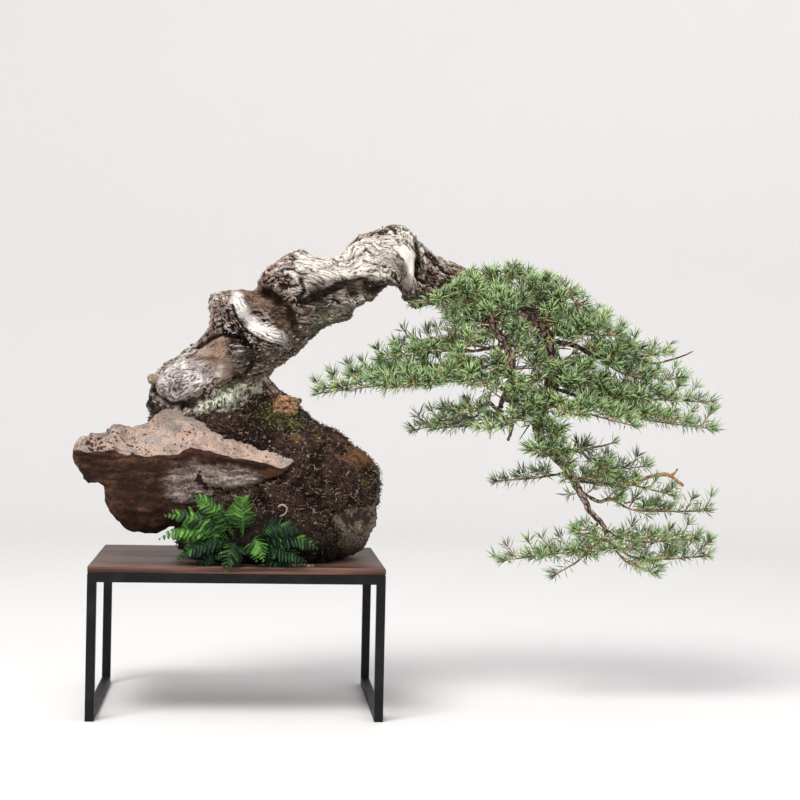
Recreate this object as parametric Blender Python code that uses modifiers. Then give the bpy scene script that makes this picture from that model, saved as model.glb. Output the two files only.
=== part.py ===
"""A douglas fir bonsai grown over two stones, on a welded steel stand with a walnut top.

Lengths below are millimetres, and become metres as each mesh is made. +Z is up and the front is -Y.
Places are measured from the middle of the stand's footprint. At the end everything hangs on one empty that puts
the origin at the middle of the finished object's footprint box.
"""

import math

import bmesh
import bpy
import numpy as np
from mathutils import Vector

MM = 0.001
GAP = 0.3
# A cutter grown along its vertex normals by this many gaps clears its piece by one gap on the flat faces too
ROOM_SHARE = 1.15
WELD = 0.01

# Finishes: colour, roughness and metallic value
FINISHES = {
    "blue_black_steel": ((0.02, 0.022, 0.028), 0.42, 0.6),
    "walnut": ((0.13, 0.07, 0.045), 0.5, 0.0),
    "red_stone": ((0.30, 0.20, 0.16), 0.9, 0.0),
    "dark_stone": ((0.07, 0.06, 0.045), 0.85, 0.0),
    "soil_and_moss": ((0.06, 0.04, 0.028), 0.95, 0.0),
    "bark": ((0.22, 0.18, 0.15), 0.85, 0.0),
    "chip_bark": ((0.28, 0.15, 0.08), 0.85, 0.0),
    "needles": ((0.10, 0.24, 0.08), 0.5, 0.0),
    "fern_leaf": ((0.10, 0.32, 0.04), 0.5, 0.0),
}

# Stand
STAND_WIDTH = 420.0
STAND_DEPTH = 290.0
STAND_HEIGHT = 219.0
BAR = 12.7
BOARD_THICKNESS = 10.0
BOARD_EDGE = 1.5

# Slab stone: at each place along X the height of its ridge, of its front lip and of its underside, then the
# places in Y of its lip and its back
SLAB_STATIONS = (
    (-243, 379, 375, 368, -62, -44),
    (-234, 393, 378, 350, -74, -22),
    (-220, 402, 377, 332, -82, -6),
    (-200, 405, 376, 322, -86, 4),
    (-184, 415, 381, 282, -88, 10),
    (-165, 409, 376, 262, -90, 14),
    (-143, 415, 374, 259, -92, 18),
    (-113, 433, 374, 259, -93, 20),
    (-88, 434, 378, 267, -94, 20),
    (-67, 432, 387, 280, -94, 18),
    (-45, 418, 381, 303, -95, 12),
    (-20, 403, 374, 315, -96, 4),
    (8, 397, 370, 323, -97, -12),
    (34, 387, 364, 333, -98, -34),
    (58, 377, 357, 346, -98, -56),
    (77, 370, 366, 361, -94, -78),
)
# How the stone's section goes round: how far forward each corner lies, and which heights it lies between
SLAB_SECTION = (
    (0.00, "bottom", "ridge", 0.50),
    (0.07, "bottom", "ridge", 0.78),
    (0.22, "bottom", "ridge", 0.95),
    (0.45, "bottom", "ridge", 1.00),
    (0.74, "lip", "ridge", 0.62),
    (0.97, "lip", "ridge", 0.08),
    (1.00, "bottom", "lip", 0.92),
    (0.91, "bottom", "lip", 0.70),
    (0.78, "bottom", "lip", 0.30),
    (0.58, "bottom", "lip", 0.00),
    (0.28, "bottom", "ridge", 0.03),
    (0.05, "bottom", "ridge", 0.24),
)
SLAB_ALONG = 16
SLAB_ROUND = 16
# Lumps on a surface: the size of each lump and how far it stands out
SLAB_LUMPS = ((34, 3.5), (15, 2.0))
SLAB_SEED = 3

# Base stone: along X its top, its underside above the board, its front and its back
BASE_STATIONS = (
    (-66, 16, 6, -20, 22),
    (-50, 34, 0, -46, 46),
    (-14, 58, 0, -66, 70),
    (36, 82, 0, -76, 84),
    (88, 112, 0, -82, 88),
    (136, 128, 0, -78, 82),
    (170, 130, 6, -64, 66),
    (192, 122, 26, -44, 46),
    (205, 104, 62, -18, 20),
)
BASE_ALONG = 10
BASE_ROUND = 12
BASE_SQUARENESS = 0.8
BASE_LUMPS = ((38, 4.0), (16, 1.6))
BASE_SEED = 11

# Soil mound: at each height above the board its left, right, front and back
MOUND_STATIONS = (
    (0, -52, 156, -92, 74),
    (10, -76, 170, -110, 96),
    (28, -86, 186, -116, 106),
    (46, -90, 197, -111, 109),
    (68, -92, 194, -104, 109),
    (84, -94, 203, -100, 108),
    (104, -102, 210, -97, 107),
    (126, -116, 210, -92, 106),
    (148, -130, 195, -86, 104),
    (173, -140, 164, -74, 102),
    (197, -138, 127, -57, 94),
    (214, -122, 97, -44, 82),
    (231, -66, 79, -32, 56),
    (243, 2, 64, -14, 32),
)
MOUND_ALONG = 13
MOUND_ROUND = 22
MOUND_SQUARENESS = 0.88
MOUND_LUMPS = ((40, 5.0), (17, 2.6))
MOUND_SEED = 21

CHIP_PLACE = (66, -35, 445)
CHIP_SIZE = (34, 14, 24)
CHIP_LEAN = (0.35, 0.1, 0.0)
CHIP_LUMP = 9.0
CHIP_LUMP_SHARE = 0.22
CHIP_SEED = 5

# Trunk: the upper and the lower edge of its outline in X and Z, then half its depth and the middle's place in Y
TRUNK_STATIONS = (
    (-112, 404, 6, 392, 46, 16),
    (-132, 430, 28, 446, 58, 14),
    (-139, 462, 35, 472, 62, 12),
    (-123, 493, 41, 490, 62, 10),
    (-68, 537, 66, 514, 60, 8),
    (-49, 574, 86, 534, 58, 6),
    (-44, 606, 113, 556, 62, 5),
    (4, 620, 143, 572, 58, 4),
    (26, 640, 156, 580, 56, 4),
    (74, 672, 168, 592, 52, 3),
    (130, 668, 186, 610, 42, 2),
    (168, 698, 205, 620, 43, 1),
    (226, 714, 227, 628, 45, 0),
    (256, 700, 243, 612, 41, 0),
    (286, 677, 261, 600, 34, 0),
    (337, 654, 312, 610, 22, 0),
)
TRUNK_ALONG = 42
TRUNK_ROUND = 18
FOOT_RINGS = 10
TRUNK_TWIST = 1.1
TRUNK_FLUTES = 5
TRUNK_FLUTE_DEPTH = 3.6
# Burls and creases: their middle, how far they spread, and how far they stand out
TRUNK_BURLS = (
    (-78, -45, 486, 38, 12),
    (-36, -50, 516, 15, -13),
    (-34, -42, 588, 24, 13),
    (16, -50, 582, 20, -12),
    (22, -46, 530, 26, 8),
    (54, -42, 636, 28, 14),
    (104, -45, 602, 22, -11),
    (150, -40, 660, 18, -4),
    (190, -42, 652, 24, 8),
    (226, -8, 708, 17, 8),
    (252, -32, 658, 12, -10),
    (-60, 60, 500, 34, 10),
    (18, 60, 560, 22, 11),
    (62, 56, 610, 16, -9),
    (120, 44, 640, 22, 9),
    (210, 42, 660, 20, 7),
)

# Woody parts that grow out of the trunk: each route starts inside what carries it
STEMS = {
    "descending_stem": (
        (322, 0, 634), (360, 5, 616), (397, 8, 609), (434, 8, 591), (459, 5, 557), (469, 0, 520),
        (466, -5, 478), (452, -8, 444), (448, -8, 410), (476, -8, 375), (498, -8, 350), (515, -8, 323),
        (533, -8, 291), (552, -8, 272), (558, -8, 248),
    ),
    "front_stem": (
        (345, 0, 622), (369, -25, 578), (392, -31, 544), (403, -31, 507), (393, -28, 469), (383, -25, 440),
    ),
}
STEM_WIDTHS = {"descending_stem": (24, 3.2), "front_stem": (13, 3.6)}
STEM_BEND = 0.55
ROOTS = {
    "left_root": (((-100, 14, 460), (-112, 24, 432), (-110, 30, 406), (-96, 30, 380)), 17, 5),
    "back_root": (((-60, 46, 464), (-50, 60, 432), (-36, 64, 402), (-20, 60, 380)), 16, 6),
    "right_root": (((20, 0, 486), (52, 6, 458), (74, 4, 434), (84, 0, 418)), 15, 6),
}
STUBS = {
    "left_stub": (((-110, -16, 474), (-132, -22, 482), (-139, -24, 484)), 9, 7.5),
    "hanging_stub": (((410, -20, 452), (405, -22, 418), (400, -22, 399)), 3.6, 2.6),
    "grey_twig": (((600, -8, 527), (624, -15, 521), (654, -17, 528), (684, -15, 541)), 2.4, 1.3),
    "forked_jin": (
        ((582, -32, 337), (606, -33, 346), (626, -36, 353), (645, -37, 353), (657, -37, 344), (668, -37, 336)),
        3.8, 2.2,
    ),
    "jin_fork": (((646, -37, 351), (653, -37, 356), (658, -37, 363)), 2.3, 1.4),
    "loop_left": (
        ((384, -26, 443), (370, -20, 456), (361, -16, 448), (352, -18, 436), (331, -28, 431)), 3.0, 1.6,
    ),
    "loop_right": (
        ((383, -25, 440), (400, -22, 432), (420, -18, 434), (432, -12, 444), (450, -8, 448)), 3.6, 3.6,
    ),
}
# Branches: the route to the tip, the radius at its start, and its length of bare wood before the spray begins
BRANCHES = {
    "long_left": (
        ((401, -30, 509), (339, -35, 492), (279, -35, 485),
         (227, -31, 482), (104, -28, 464)), 4.2, 118,
    ),
    "long_left_front": (((300, -35, 487), (276, -52, 482), (252, -60, 480), (200, -88, 474)), 2.2, 20),
    "upper_left": (((398, -26, 522), (342, -10, 505), (284, 10, 501), (152, 20, 491)), 3.4, 55),
    "top_left": (((394, -28, 543), (339, -25, 533), (295, -20, 532), (194, -30, 515)), 3.2, 62),
    "top_left_back": (((345, -24, 533), (314, 15, 542), (296, 32, 544), (228, 66, 541)), 2.4, 26),
    "lower_left": (
        ((384, -26, 440), (354, -32, 444), (327, -34, 438),
         (311, -34, 428), (247, -32, 411)), 3, 40,
    ),
    "lower_left_back": (((390, -26, 452), (373, -12, 430), (345, 4, 421), (285, 30, 413)), 2.6, 34),
    "lower_left_front": (((440, -8, 447), (416, -34, 436), (400, -52, 427), (350, -88, 417)), 2.6, 34),
    "crown_left_front": (((345, -2, 627), (316, -36, 619), (304, -44, 614), (250, -66, 598)), 3, 24),
    "crown_left_back": (((345, 2, 629), (324, 38, 634), (314, 52, 634), (276, 94, 624)), 2.8, 24),
    "crown_west": (((356, 0, 622), (350, -20, 638), (344, -26, 642), (300, -50, 650)), 2.6, 24),
    "crown_top": (((388, 6, 612), (392, -12, 630), (394, -18, 638), (404, -46, 666)), 2.6, 24),
    "crown_top_back": (((404, 8, 608), (420, 28, 626), (428, 36, 632), (470, 70, 644)), 2.6, 24),
    "crown_top_right": (((434, 8, 592), (452, -16, 606), (459, -23, 611), (502, -50, 622)), 2.6, 24),
    "crown_right_back": (((458, 5, 562), (492, 24, 576), (506, 30, 580), (562, 58, 592)), 2.8, 24),
    "crown_right_front": (((458, 5, 560), (492, -24, 562), (508, -32, 562), (570, -58, 560)), 2.8, 24),
    "crown_front_left": (((388, 6, 608), (378, -44, 590), (372, -58, 582), (348, -108, 562)), 2.8, 24),
    "crown_front": (((436, 6, 590), (438, -38, 574), (438, -54, 568), (440, -112, 556)), 2.8, 24),
    "crown_back": (((420, 8, 600), (430, 50, 594), (436, 66, 592), (458, 124, 584)), 2.8, 24),
    "crown_back_left": (((372, 6, 612), (364, 46, 604), (356, 60, 602), (326, 114, 592)), 2.8, 24),
    "right_top": (
        ((460, 3, 552), (504, -5, 545), (538, -8, 528),
         (590, -8, 528), (606, -6, 531), (662, 4, 541)), 5, 160,
    ),
    "right_upper": (((536, -8, 529), (568, -17, 508), (601, -20, 499), (674, -22, 498)), 2.8, 34),
    "right_long": (((469, 0, 506), (525, -18, 484), (577, -25, 469), (706, -32, 463)), 4.2, 60),
    "right_low": (((465, -5, 482), (529, -35, 459), (597, -41, 437), (714, -46, 423)), 4.2, 62),
    "right_back_upper": (((504, -4, 545), (548, 38, 530), (566, 46, 528), (646, 92, 516)), 2.8, 34),
    "right_back_lower": (((467, 0, 494), (528, 48, 476), (552, 60, 470), (640, 108, 450)), 3.4, 46),
    "front_star": (((458, -5, 462), (476, -44, 450), (482, -60, 446), (496, -108, 440)), 2.8, 36),
    "front_right_star": (((463, -5, 470), (512, -56, 446), (526, -66, 440), (582, -98, 426)), 2.8, 42),
    "middle_left": (((497, -8, 352), (464, -12, 347), (436, -15, 343), (374, -18, 338)), 3, 40),
    "middle_front": (((474, -8, 378), (458, -40, 384), (450, -50, 386), (420, -84, 390)), 2.2, 24),
    "middle_right": (
        ((468, -8, 384), (511, -12, 385), (530, -15, 371),
         (558, -21, 359), (622, -34, 367)), 4.6, 66,
    ),
    "middle_low": (
        ((503, -8, 342), (545, -24, 336), (588, -34, 337),
         (602, -40, 334), (654, -62, 322)), 4.2, 96,
    ),
    "hooked_right": (
        ((512, -8, 326), (542, -14, 309), (558, -16, 314),
         (575, -18, 307), (605, -20, 297), (718, -26, 298)), 3.2, 104,
    ),
    "middle_back": (((503, -8, 346), (538, 34, 339), (554, 48, 336), (606, 92, 324)), 2.8, 34),
    "bare_twig": (((506, -12, 384), (532, -10, 391), (548, -10, 394), (574, -8, 402)), 1.8, 34),
    "bottom_left": (((555, -8, 252), (530, -18, 239), (496, -22, 233), (383, -26, 218)), 2.4, 34),
    "bottom_left_low": (((534, -17, 241), (512, -34, 224), (504, -40, 219), (462, -64, 199)), 1.9, 20),
    "bottom_right_high": (((553, -8, 268), (577, -15, 255), (607, -20, 249), (701, -28, 257)), 2.2, 26),
    "bottom_right": (((558, -8, 250), (581, -12, 234), (616, -14, 222), (724, -18, 229)), 2.4, 26),
    "bottom_right_front": (((562, -9, 246), (580, -28, 223), (588, -34, 218), (630, -58, 203)), 1.9, 22),
    "bottom_back": (((556, -8, 254), (562, 30, 236), (562, 42, 232), (560, 98, 214)), 2.2, 26),
    "bottom_star": (((545, -8, 278), (532, -24, 264), (528, -30, 262), (500, -56, 264)), 1.9, 18),
}
BRANCH_END = 1.5
ROUTE_STEP = 30.0
ROUTE_SAMPLES = 60

# Needle sprays
SEED = 7
NEEDLE_LENGTH = 18.0
NEEDLE_LENGTH_VARIES = (0.85, 1.1)
# How far a needle turns from its face's normal at random, more with each try, and how much shorter it gets
NEEDLE_SPREAD = 0.12
NEEDLE_SHORTENS = 0.08
LEAST_FACING = 0.45
NEEDLE_BAND = 1.3
NEEDLE_ROOT = 2.5
NEEDLE_RADIUS = 0.5
BAND_SPACING = 36.0
FIRST_BAND = 3.0
SIDE_FIRST_BAND = 8.0
TWIG_START_RADIUS = 1.25
TWIG_RADIUS = 0.95
TWIG_TIP_RADIUS = 0.75
TWIG_STEP = 10.0
SIDE_TWIG_SPACING = 55.0
SIDE_TWIG_ANGLE = 52.0
SIDE_TWIG_LENGTHS = (20.0, 32.0)
# How much a side twig's place, angle and length vary, and how far it may rise
SIDE_TWIG_PLACE_VARIES = 0.15
SIDE_TWIG_ANGLE_VARIES = 8.0
SIDE_TWIG_LENGTH_VARIES = 0.15
SIDE_TWIG_RISE = 0.3
NEEDLE_LEAN = 0.62
NEEDLE_TRIES = 6
TWIG_TRIES = 8
TWIG_LIFT = 5.0
CLEARANCE = 0.5
CAP_ROOM = 0.1
TIP_SHARE = 0.55
NEARBY = 60.0

# Ferns: the stem's foot, the frond's tip, how far it bows upwards and the way its face turns
FRONDS = (
    ((-16, -102, 244), (-112, -132, 256), 24, (0.2, -0.6, 0.8)),
    ((-12, -103, 250), (-104, -138, 290), 18, (0.4, -0.8, 0.5)),
    ((-6, -104, 256), (-62, -130, 317), 14, (0.7, -0.7, 0.2)),
    ((6, -108, 258), (4, -136, 319), 10, (0.1, -0.95, 0.3)),
    ((-8, -105, 237), (-84, -148, 230), 18, (0.0, -0.6, 0.8)),
    ((2, -108, 238), (-18, -160, 214), 22, (0.0, -0.8, 0.6)),
    ((16, -112, 242), (36, -154, 229), 20, (0.0, -0.75, 0.65)),
    ((26, -113, 250), (86, -140, 270), 18, (-0.2, -0.75, 0.6)),
    ((34, -114, 243), (112, -142, 247), 18, (-0.1, -0.7, 0.7)),
    ((28, -115, 235), (96, -152, 229), 10, (0.0, -0.5, 0.86)),
)
BOW_WAY = (0.0, -0.5, 0.87)
FROND_STATIONS = 7
FROND_BARE_SHARE = 0.22
LEAFLET_LENGTH = 15.0
# A leaflet's root takes this share of its station, and the lengths follow this stretch of a sine's half wave
LEAFLET_ROOT_SHARE = 0.8
LEAFLET_WAVE = (0.32, 0.94)
LEAFLET_LEAN = 0.45
LEAFLET_DROOP = 0.18
FROND_RIB = 1.1
FROND_THICKNESS = 0.8
STEM_HOLE = 1.7
STEM_DEPTH = 5.0


def clear_scene():
    for obj in list(bpy.data.objects):
        bpy.data.objects.remove(obj, do_unlink=True)


def new_collection(name, helper=False):
    collection = bpy.data.collections.new(name)
    bpy.context.scene.collection.children.link(collection)
    collection.hide_render = helper
    return collection


def material(name):
    colour, roughness, metallic = FINISHES[name]
    made = bpy.data.materials.new(name)
    made.use_nodes = True
    shader = made.node_tree.nodes["Principled BSDF"]
    shader.inputs["Base Color"].default_value = (*colour, 1.0)
    shader.inputs["Roughness"].default_value = roughness
    shader.inputs["Metallic"].default_value = metallic
    return made


def mesh_object(name, mesh, collection, finish=None):
    obj = bpy.data.objects.new(name, mesh)
    collection.objects.link(obj)
    if finish:
        mesh.materials.clear()
        mesh.materials.append(finish)
    return obj


def as_helper(obj):
    obj.hide_render = True
    obj.display_type = "WIRE"
    return obj


def evaluated_mesh(obj):
    bpy.context.view_layer.update()
    return bpy.data.meshes.new_from_object(obj.evaluated_get(bpy.context.evaluated_depsgraph_get()))


def modifiers_applied(obj):
    """Gives the object the mesh that its modifiers make, and takes the modifiers off."""
    mesh = evaluated_mesh(obj)
    obj.modifiers.clear()
    obj.data = mesh
    return obj


def remove(obj):
    bpy.data.objects.remove(obj, do_unlink=True)


def box_object(name, low, high, collection, finish=None):
    """A box between two corners, from a unit cube."""
    low, high = np.array(low, float) * MM, np.array(high, float) * MM
    mesh = bpy.data.meshes.new(name)
    form = bmesh.new()
    bmesh.ops.create_cube(form, size=1.0)
    for vertex in form.verts:
        vertex.co = Vector((low + high) / 2 + np.array(vertex.co) * (high - low))
    form.to_mesh(mesh)
    form.free()
    return mesh_object(name, mesh, collection, finish)


def joined(base, pieces, collection_name, solver="EXACT"):
    """One Boolean union of the base with all the pieces, applied, and the pieces removed."""
    operands = new_collection(collection_name, helper=True)
    for piece in pieces:
        for holder in list(piece.users_collection):
            holder.objects.unlink(piece)
        operands.objects.link(as_helper(piece))
    union = base.modifiers.new("join", "BOOLEAN")
    union.operation = "UNION"
    union.operand_type = "COLLECTION"
    union.collection = operands
    union.solver = solver
    modifiers_applied(base)
    for piece in list(operands.objects):
        remove(piece)
    bpy.data.collections.remove(operands)
    return base


def cut(base, cutter):
    """Takes the cutter's shape out of the base, and drops any scrap that the cut leaves loose."""
    away = base.modifiers.new("cut", "BOOLEAN")
    away.operation = "DIFFERENCE"
    away.object = cutter
    modifiers_applied(base)
    keep_largest(base.data)


def keep_largest(mesh):
    form = bmesh.new()
    form.from_mesh(mesh)
    left = set(form.verts)
    shells = []
    while left:
        shell, edge = set(), [left.pop()]
        while edge:
            vertex = edge.pop()
            shell.add(vertex)
            for link in vertex.link_edges:
                other = link.other_vert(vertex)
                if other in left:
                    left.remove(other)
                    edge.append(other)
        shells.append(shell)
    shells.sort(key=len)
    scraps = [vertex for shell in shells[:-1] for vertex in shell]
    bmesh.ops.delete(form, geom=scraps, context="VERTS")
    form.to_mesh(mesh)
    form.free()


def grown_copy(obj, name, collection):
    """A cutter that is the object made larger all round by the gap."""
    mesh = evaluated_mesh(obj)
    form = bmesh.new()
    form.from_mesh(mesh)
    form.normal_update()
    places = [vertex.co + vertex.normal * GAP * ROOM_SHARE * MM for vertex in form.verts]
    for vertex, place in zip(form.verts, places):
        vertex.co = place
    form.to_mesh(mesh)
    form.free()
    return as_helper(mesh_object(name, mesh, collection))


def lofted(name, rings, collection, finish):
    """A skin over closed rings of points, one after another, with a point in the middle of each end."""
    count, around, _ = rings.shape
    middles = rings[[0, -1]].mean(axis=1)
    points = np.concatenate([rings.reshape(-1, 3), middles]) * MM
    ring, side = np.meshgrid(np.arange(count - 1), np.arange(around), indexing="ij")
    here = ring * around + side
    beside = ring * around + (side + 1) % around
    skin = np.stack([here, beside, beside + around, here + around], axis=-1).reshape(-1, 4).tolist()
    first = np.arange(around)
    after = (first + 1) % around
    last = (count - 1) * around
    start_cap = [(int(b), int(a), count * around) for a, b in zip(first, after)]
    end_cap = [(int(last + a), int(last + b), count * around + 1) for a, b in zip(first, after)]
    mesh = bpy.data.meshes.new(name)
    mesh.from_pydata(points.tolist(), [], skin + start_cap + end_cap)
    form = bmesh.new()
    form.from_mesh(mesh)
    bmesh.ops.recalc_face_normals(form, faces=form.faces)
    bmesh.ops.triangulate(form, faces=form.faces)
    form.to_mesh(mesh)
    form.free()
    mesh.shade_smooth()
    return mesh_object(name, mesh, collection, finish)


def between(stations, count):
    """Stations resampled to a smooth run of that many, evenly spaced along their path (Catmull-Rom)."""
    given = np.array(stations, float)
    span = np.linalg.norm(np.diff(given, axis=0), axis=1)
    place = np.concatenate([[0.0], np.cumsum(span)])
    wanted = np.linspace(0, place[-1], count)
    piece = np.clip(np.searchsorted(place, wanted, side="right") - 1, 0, len(given) - 2)
    share = ((wanted - place[piece]) / span[piece])[:, None]
    padded = np.concatenate([[2 * given[0] - given[1]], given, [2 * given[-1] - given[-2]]])
    a, b, c, d = (padded[piece + k] for k in range(4))
    return 0.5 * (
        2 * b + (c - a) * share + (2 * a - 5 * b + 4 * c - d) * share**2 + (3 * b - a - 3 * c + d) * share**3
    )


def lumps(points, cell, seed):
    """Smooth noise from -1 to 1: a random number at each corner of a grid of that cell, blended in between."""
    place = points / cell
    corner = np.floor(place)
    share = place - corner
    share = share * share * (3 - 2 * share)
    total = np.zeros(points.shape[:-1])
    for step in np.ndindex(2, 2, 2):
        step = np.array(step)
        number = np.sin((corner + step) @ np.array([12.9898, 78.233, 37.719]) + seed) * 43758.5453
        weight = np.prod(np.where(step, share, 1 - share), axis=-1)
        total += weight * (2 * (number - np.floor(number)) - 1)
    return total


def swollen(rings, sizes, seed):
    """Moves ring points away from or towards their ring's middle by noise of each (cell, height)."""
    outward = rings - rings.mean(axis=1, keepdims=True)
    outward /= np.linalg.norm(outward, axis=-1, keepdims=True) + 1e-9
    height = sum(amount * lumps(rings, cell, seed) for cell, amount in sizes)
    return rings + outward * height[..., None]


# Stand


def make_stand_frame(parts, finish):
    half_width, half_depth = STAND_WIDTH / 2, STAND_DEPTH / 2
    top = STAND_HEIGHT - BOARD_THICKNESS - GAP
    bars = []
    for side in (-1, 1):
        outer, inner = side * half_width, side * (half_width - BAR)
        low_x, high_x = min(outer, inner), max(outer, inner)
        for level in (0, top - BAR):
            bars.append(((low_x, -half_depth, level), (high_x, half_depth, level + BAR)))
        for end in (-1, 1):
            far, near = end * half_depth, end * (half_depth - BAR)
            bars.append(((low_x, min(far, near), 0), (high_x, max(far, near), top)))
    for end in (-1, 1):
        far, near = end * half_depth, end * (half_depth - BAR)
        bars.append(((-half_width, min(far, near), top - BAR), (half_width, max(far, near), top)))
    pieces = [box_object(f"bar_{index}", low, high, parts) for index, (low, high) in enumerate(bars)]
    frame = joined(pieces[0], pieces[1:], "stand_bars")
    frame.name = "stand_frame"
    frame.data.materials.append(finish)
    return frame


def make_stand_top(parts, finish):
    low = (-STAND_WIDTH / 2, -STAND_DEPTH / 2, STAND_HEIGHT - BOARD_THICKNESS)
    board = box_object("stand_top", low, (STAND_WIDTH / 2, STAND_DEPTH / 2, STAND_HEIGHT), parts, finish)
    soften = board.modifiers.new("softened edges", "BEVEL")
    soften.width = BOARD_EDGE * MM
    soften.segments = 1
    return board


# Stones and soil


def make_slab_stone(parts, finish):
    runs = between(SLAB_STATIONS, SLAB_ALONG)
    along, ridge, lip, bottom, front, back = runs.T
    heights = {"ridge": ridge, "lip": lip, "bottom": bottom}
    corners = []
    for share, low, high, lift in SLAB_SECTION:
        level = heights[low] + (heights[high] - heights[low]) * lift
        corners.append(np.stack([along, back + (front - back) * share, level], axis=-1))
    corners = np.stack(corners, axis=1)
    closed = np.concatenate([corners, corners[:, :1]], axis=1)
    wanted = np.linspace(0, len(SLAB_SECTION), SLAB_ROUND, endpoint=False)
    first = np.floor(wanted).astype(int)
    share = (wanted - first)[None, :, None]
    rings = closed[:, first] * (1 - share) + closed[:, first + 1] * share
    rings = swollen(rings, SLAB_LUMPS, SLAB_SEED)
    return lofted("slab_stone", rings, parts, finish)


def make_base_stone(parts, finish):
    along, top, under, front, back = between(BASE_STATIONS, BASE_ALONG).T[:, :, None]
    turn = np.linspace(0, 2 * math.pi, BASE_ROUND, endpoint=False)
    across = (front + back) / 2 - (front - back) / 2 * rounded(np.cos(turn), BASE_SQUARENESS)
    up = (top + under) / 2 + (top - under) / 2 * rounded(np.sin(turn), BASE_SQUARENESS)
    rings = np.stack([along + 0 * turn, across, STAND_HEIGHT + up], axis=-1)
    rings = swollen(rings, BASE_LUMPS, BASE_SEED)
    rings[..., 2] = np.maximum(rings[..., 2], STAND_HEIGHT + GAP)
    return lofted("base_stone", rings, parts, finish)


def rounded(wave, power):
    """A sine or cosine bulged outwards, which squares up the ellipse that it draws."""
    return np.sign(wave) * np.abs(wave) ** power


def make_soil_mound(parts, finish, cutters):
    level, left, right, front, back = between(MOUND_STATIONS, MOUND_ALONG).T[:, :, None]
    turn = np.linspace(0, 2 * math.pi, MOUND_ROUND, endpoint=False)
    across = (left + right) / 2 + (right - left) / 2 * rounded(np.cos(turn), MOUND_SQUARENESS)
    wave = rounded(np.sin(turn), MOUND_SQUARENESS)
    deep = np.where(wave > 0, back * wave, -front * wave)
    rings = np.stack([across, deep, STAND_HEIGHT + level + 0 * turn], axis=-1)
    rings = swollen(rings, MOUND_LUMPS, MOUND_SEED)
    rings[..., 2] = np.maximum(rings[..., 2], STAND_HEIGHT + GAP)
    rings[0, :, 2] = STAND_HEIGHT + GAP
    mound = lofted("soil_mound", rings, parts, finish)
    for cutter in cutters:
        cut(mound, cutter)
    return mound


def make_bark_chip(parts, finish):
    """A divided box that leans to the right and has its points moved in and out by noise."""
    low = np.array(CHIP_PLACE) - np.array(CHIP_SIZE) / 2
    chip = box_object("bark_chip", low, low + CHIP_SIZE, parts, finish)
    form = bmesh.new()
    form.from_mesh(chip.data)
    bmesh.ops.subdivide_edges(form, edges=form.edges, cuts=2, use_grid_fill=True)
    places = np.array([vertex.co for vertex in form.verts]) / MM
    offset = places - places.mean(axis=0)
    moved = places + offset * CHIP_LUMP_SHARE * lumps(places, CHIP_LUMP, CHIP_SEED)[:, None]
    moved += offset[:, 2:] * CHIP_LEAN
    for vertex, place in zip(form.verts, moved):
        vertex.co = Vector(place * MM)
    bmesh.ops.triangulate(form, faces=form.faces)
    form.to_mesh(chip.data)
    form.free()
    return chip


# Wood


def trunk_surface(along, around):
    """The trunk's skin: ellipses across the outline, fluted in a slow spiral, with its burls and creases."""
    top_x, top_z, low_x, low_z, half_depth, middle_y = between(TRUNK_STATIONS, along).T[:, :, None]
    turn = np.linspace(0, 2 * math.pi, around, endpoint=False)
    share = np.linspace(0, 1, along)[:, None]
    flute = TRUNK_FLUTE_DEPTH * np.sin(TRUNK_FLUTES * (turn + 2 * math.pi * TRUNK_TWIST * share))
    half_x, half_z = (top_x - low_x) / 2, (top_z - low_z) / 2
    size = 1 + flute / np.hypot(half_x, half_z)
    rings = np.stack(
        [
            (top_x + low_x) / 2 + half_x * np.cos(turn) * size,
            middle_y + half_depth * np.sin(turn) * size,
            (top_z + low_z) / 2 + half_z * np.cos(turn) * size,
        ],
        axis=-1,
    )
    outward = rings - rings.mean(axis=1, keepdims=True)
    outward /= np.linalg.norm(outward, axis=-1, keepdims=True)
    for x, y, z, spread, height in TRUNK_BURLS:
        apart = np.linalg.norm(rings - (x, y, z), axis=-1)
        rings = rings + outward * (height * np.exp(-((apart / spread) ** 2)))[..., None]
    return rings


def tube_object(name, points, radii, sides_setting, parts):
    """A tapered tube along the points, from a bevelled curve, with its caps welded on."""
    curve = bpy.data.curves.new(name, "CURVE")
    curve.dimensions = "3D"
    curve.bevel_depth = MM
    curve.bevel_resolution = sides_setting
    curve.use_fill_caps = True
    spline = curve.splines.new("POLY")
    spline.points.add(len(points) - 1)
    for point, place, radius in zip(spline.points, points, radii):
        point.co = (*(np.array(place) * MM), 1.0)
        point.radius = radius
    wire = bpy.data.objects.new(name, curve)
    parts.objects.link(wire)
    mesh = evaluated_mesh(wire)
    form = bmesh.new()
    form.from_mesh(mesh)
    bmesh.ops.remove_doubles(form, verts=form.verts, dist=WELD * MM)
    form.to_mesh(mesh)
    form.free()
    tube = mesh_object(name, mesh, parts)
    tube.matrix_world = wire.matrix_world
    remove(wire)
    bpy.data.curves.remove(curve)
    return tube


def lengths_along(points):
    return np.concatenate([[0.0], np.cumsum(np.linalg.norm(np.diff(points, axis=0), axis=1))])


def at_length(points, length):
    """The points at those lengths along a polyline."""
    place = lengths_along(points)
    return np.stack([np.interp(length, place, column) for column in np.transpose(points)], axis=-1)


def stretch(points, first, last, step):
    """The part of a polyline between two lengths along it, in even steps of about the size given."""
    return at_length(points, np.linspace(first, last, max(3, round((last - first) / step) + 1)))


def route_points(points):
    smooth = between(points, ROUTE_SAMPLES)
    return stretch(smooth, 0, lengths_along(smooth)[-1], ROUTE_STEP)


def branch_wood(route, bare):
    return stretch(between(route, ROUTE_SAMPLES), 0, bare, ROUTE_STEP)


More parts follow.
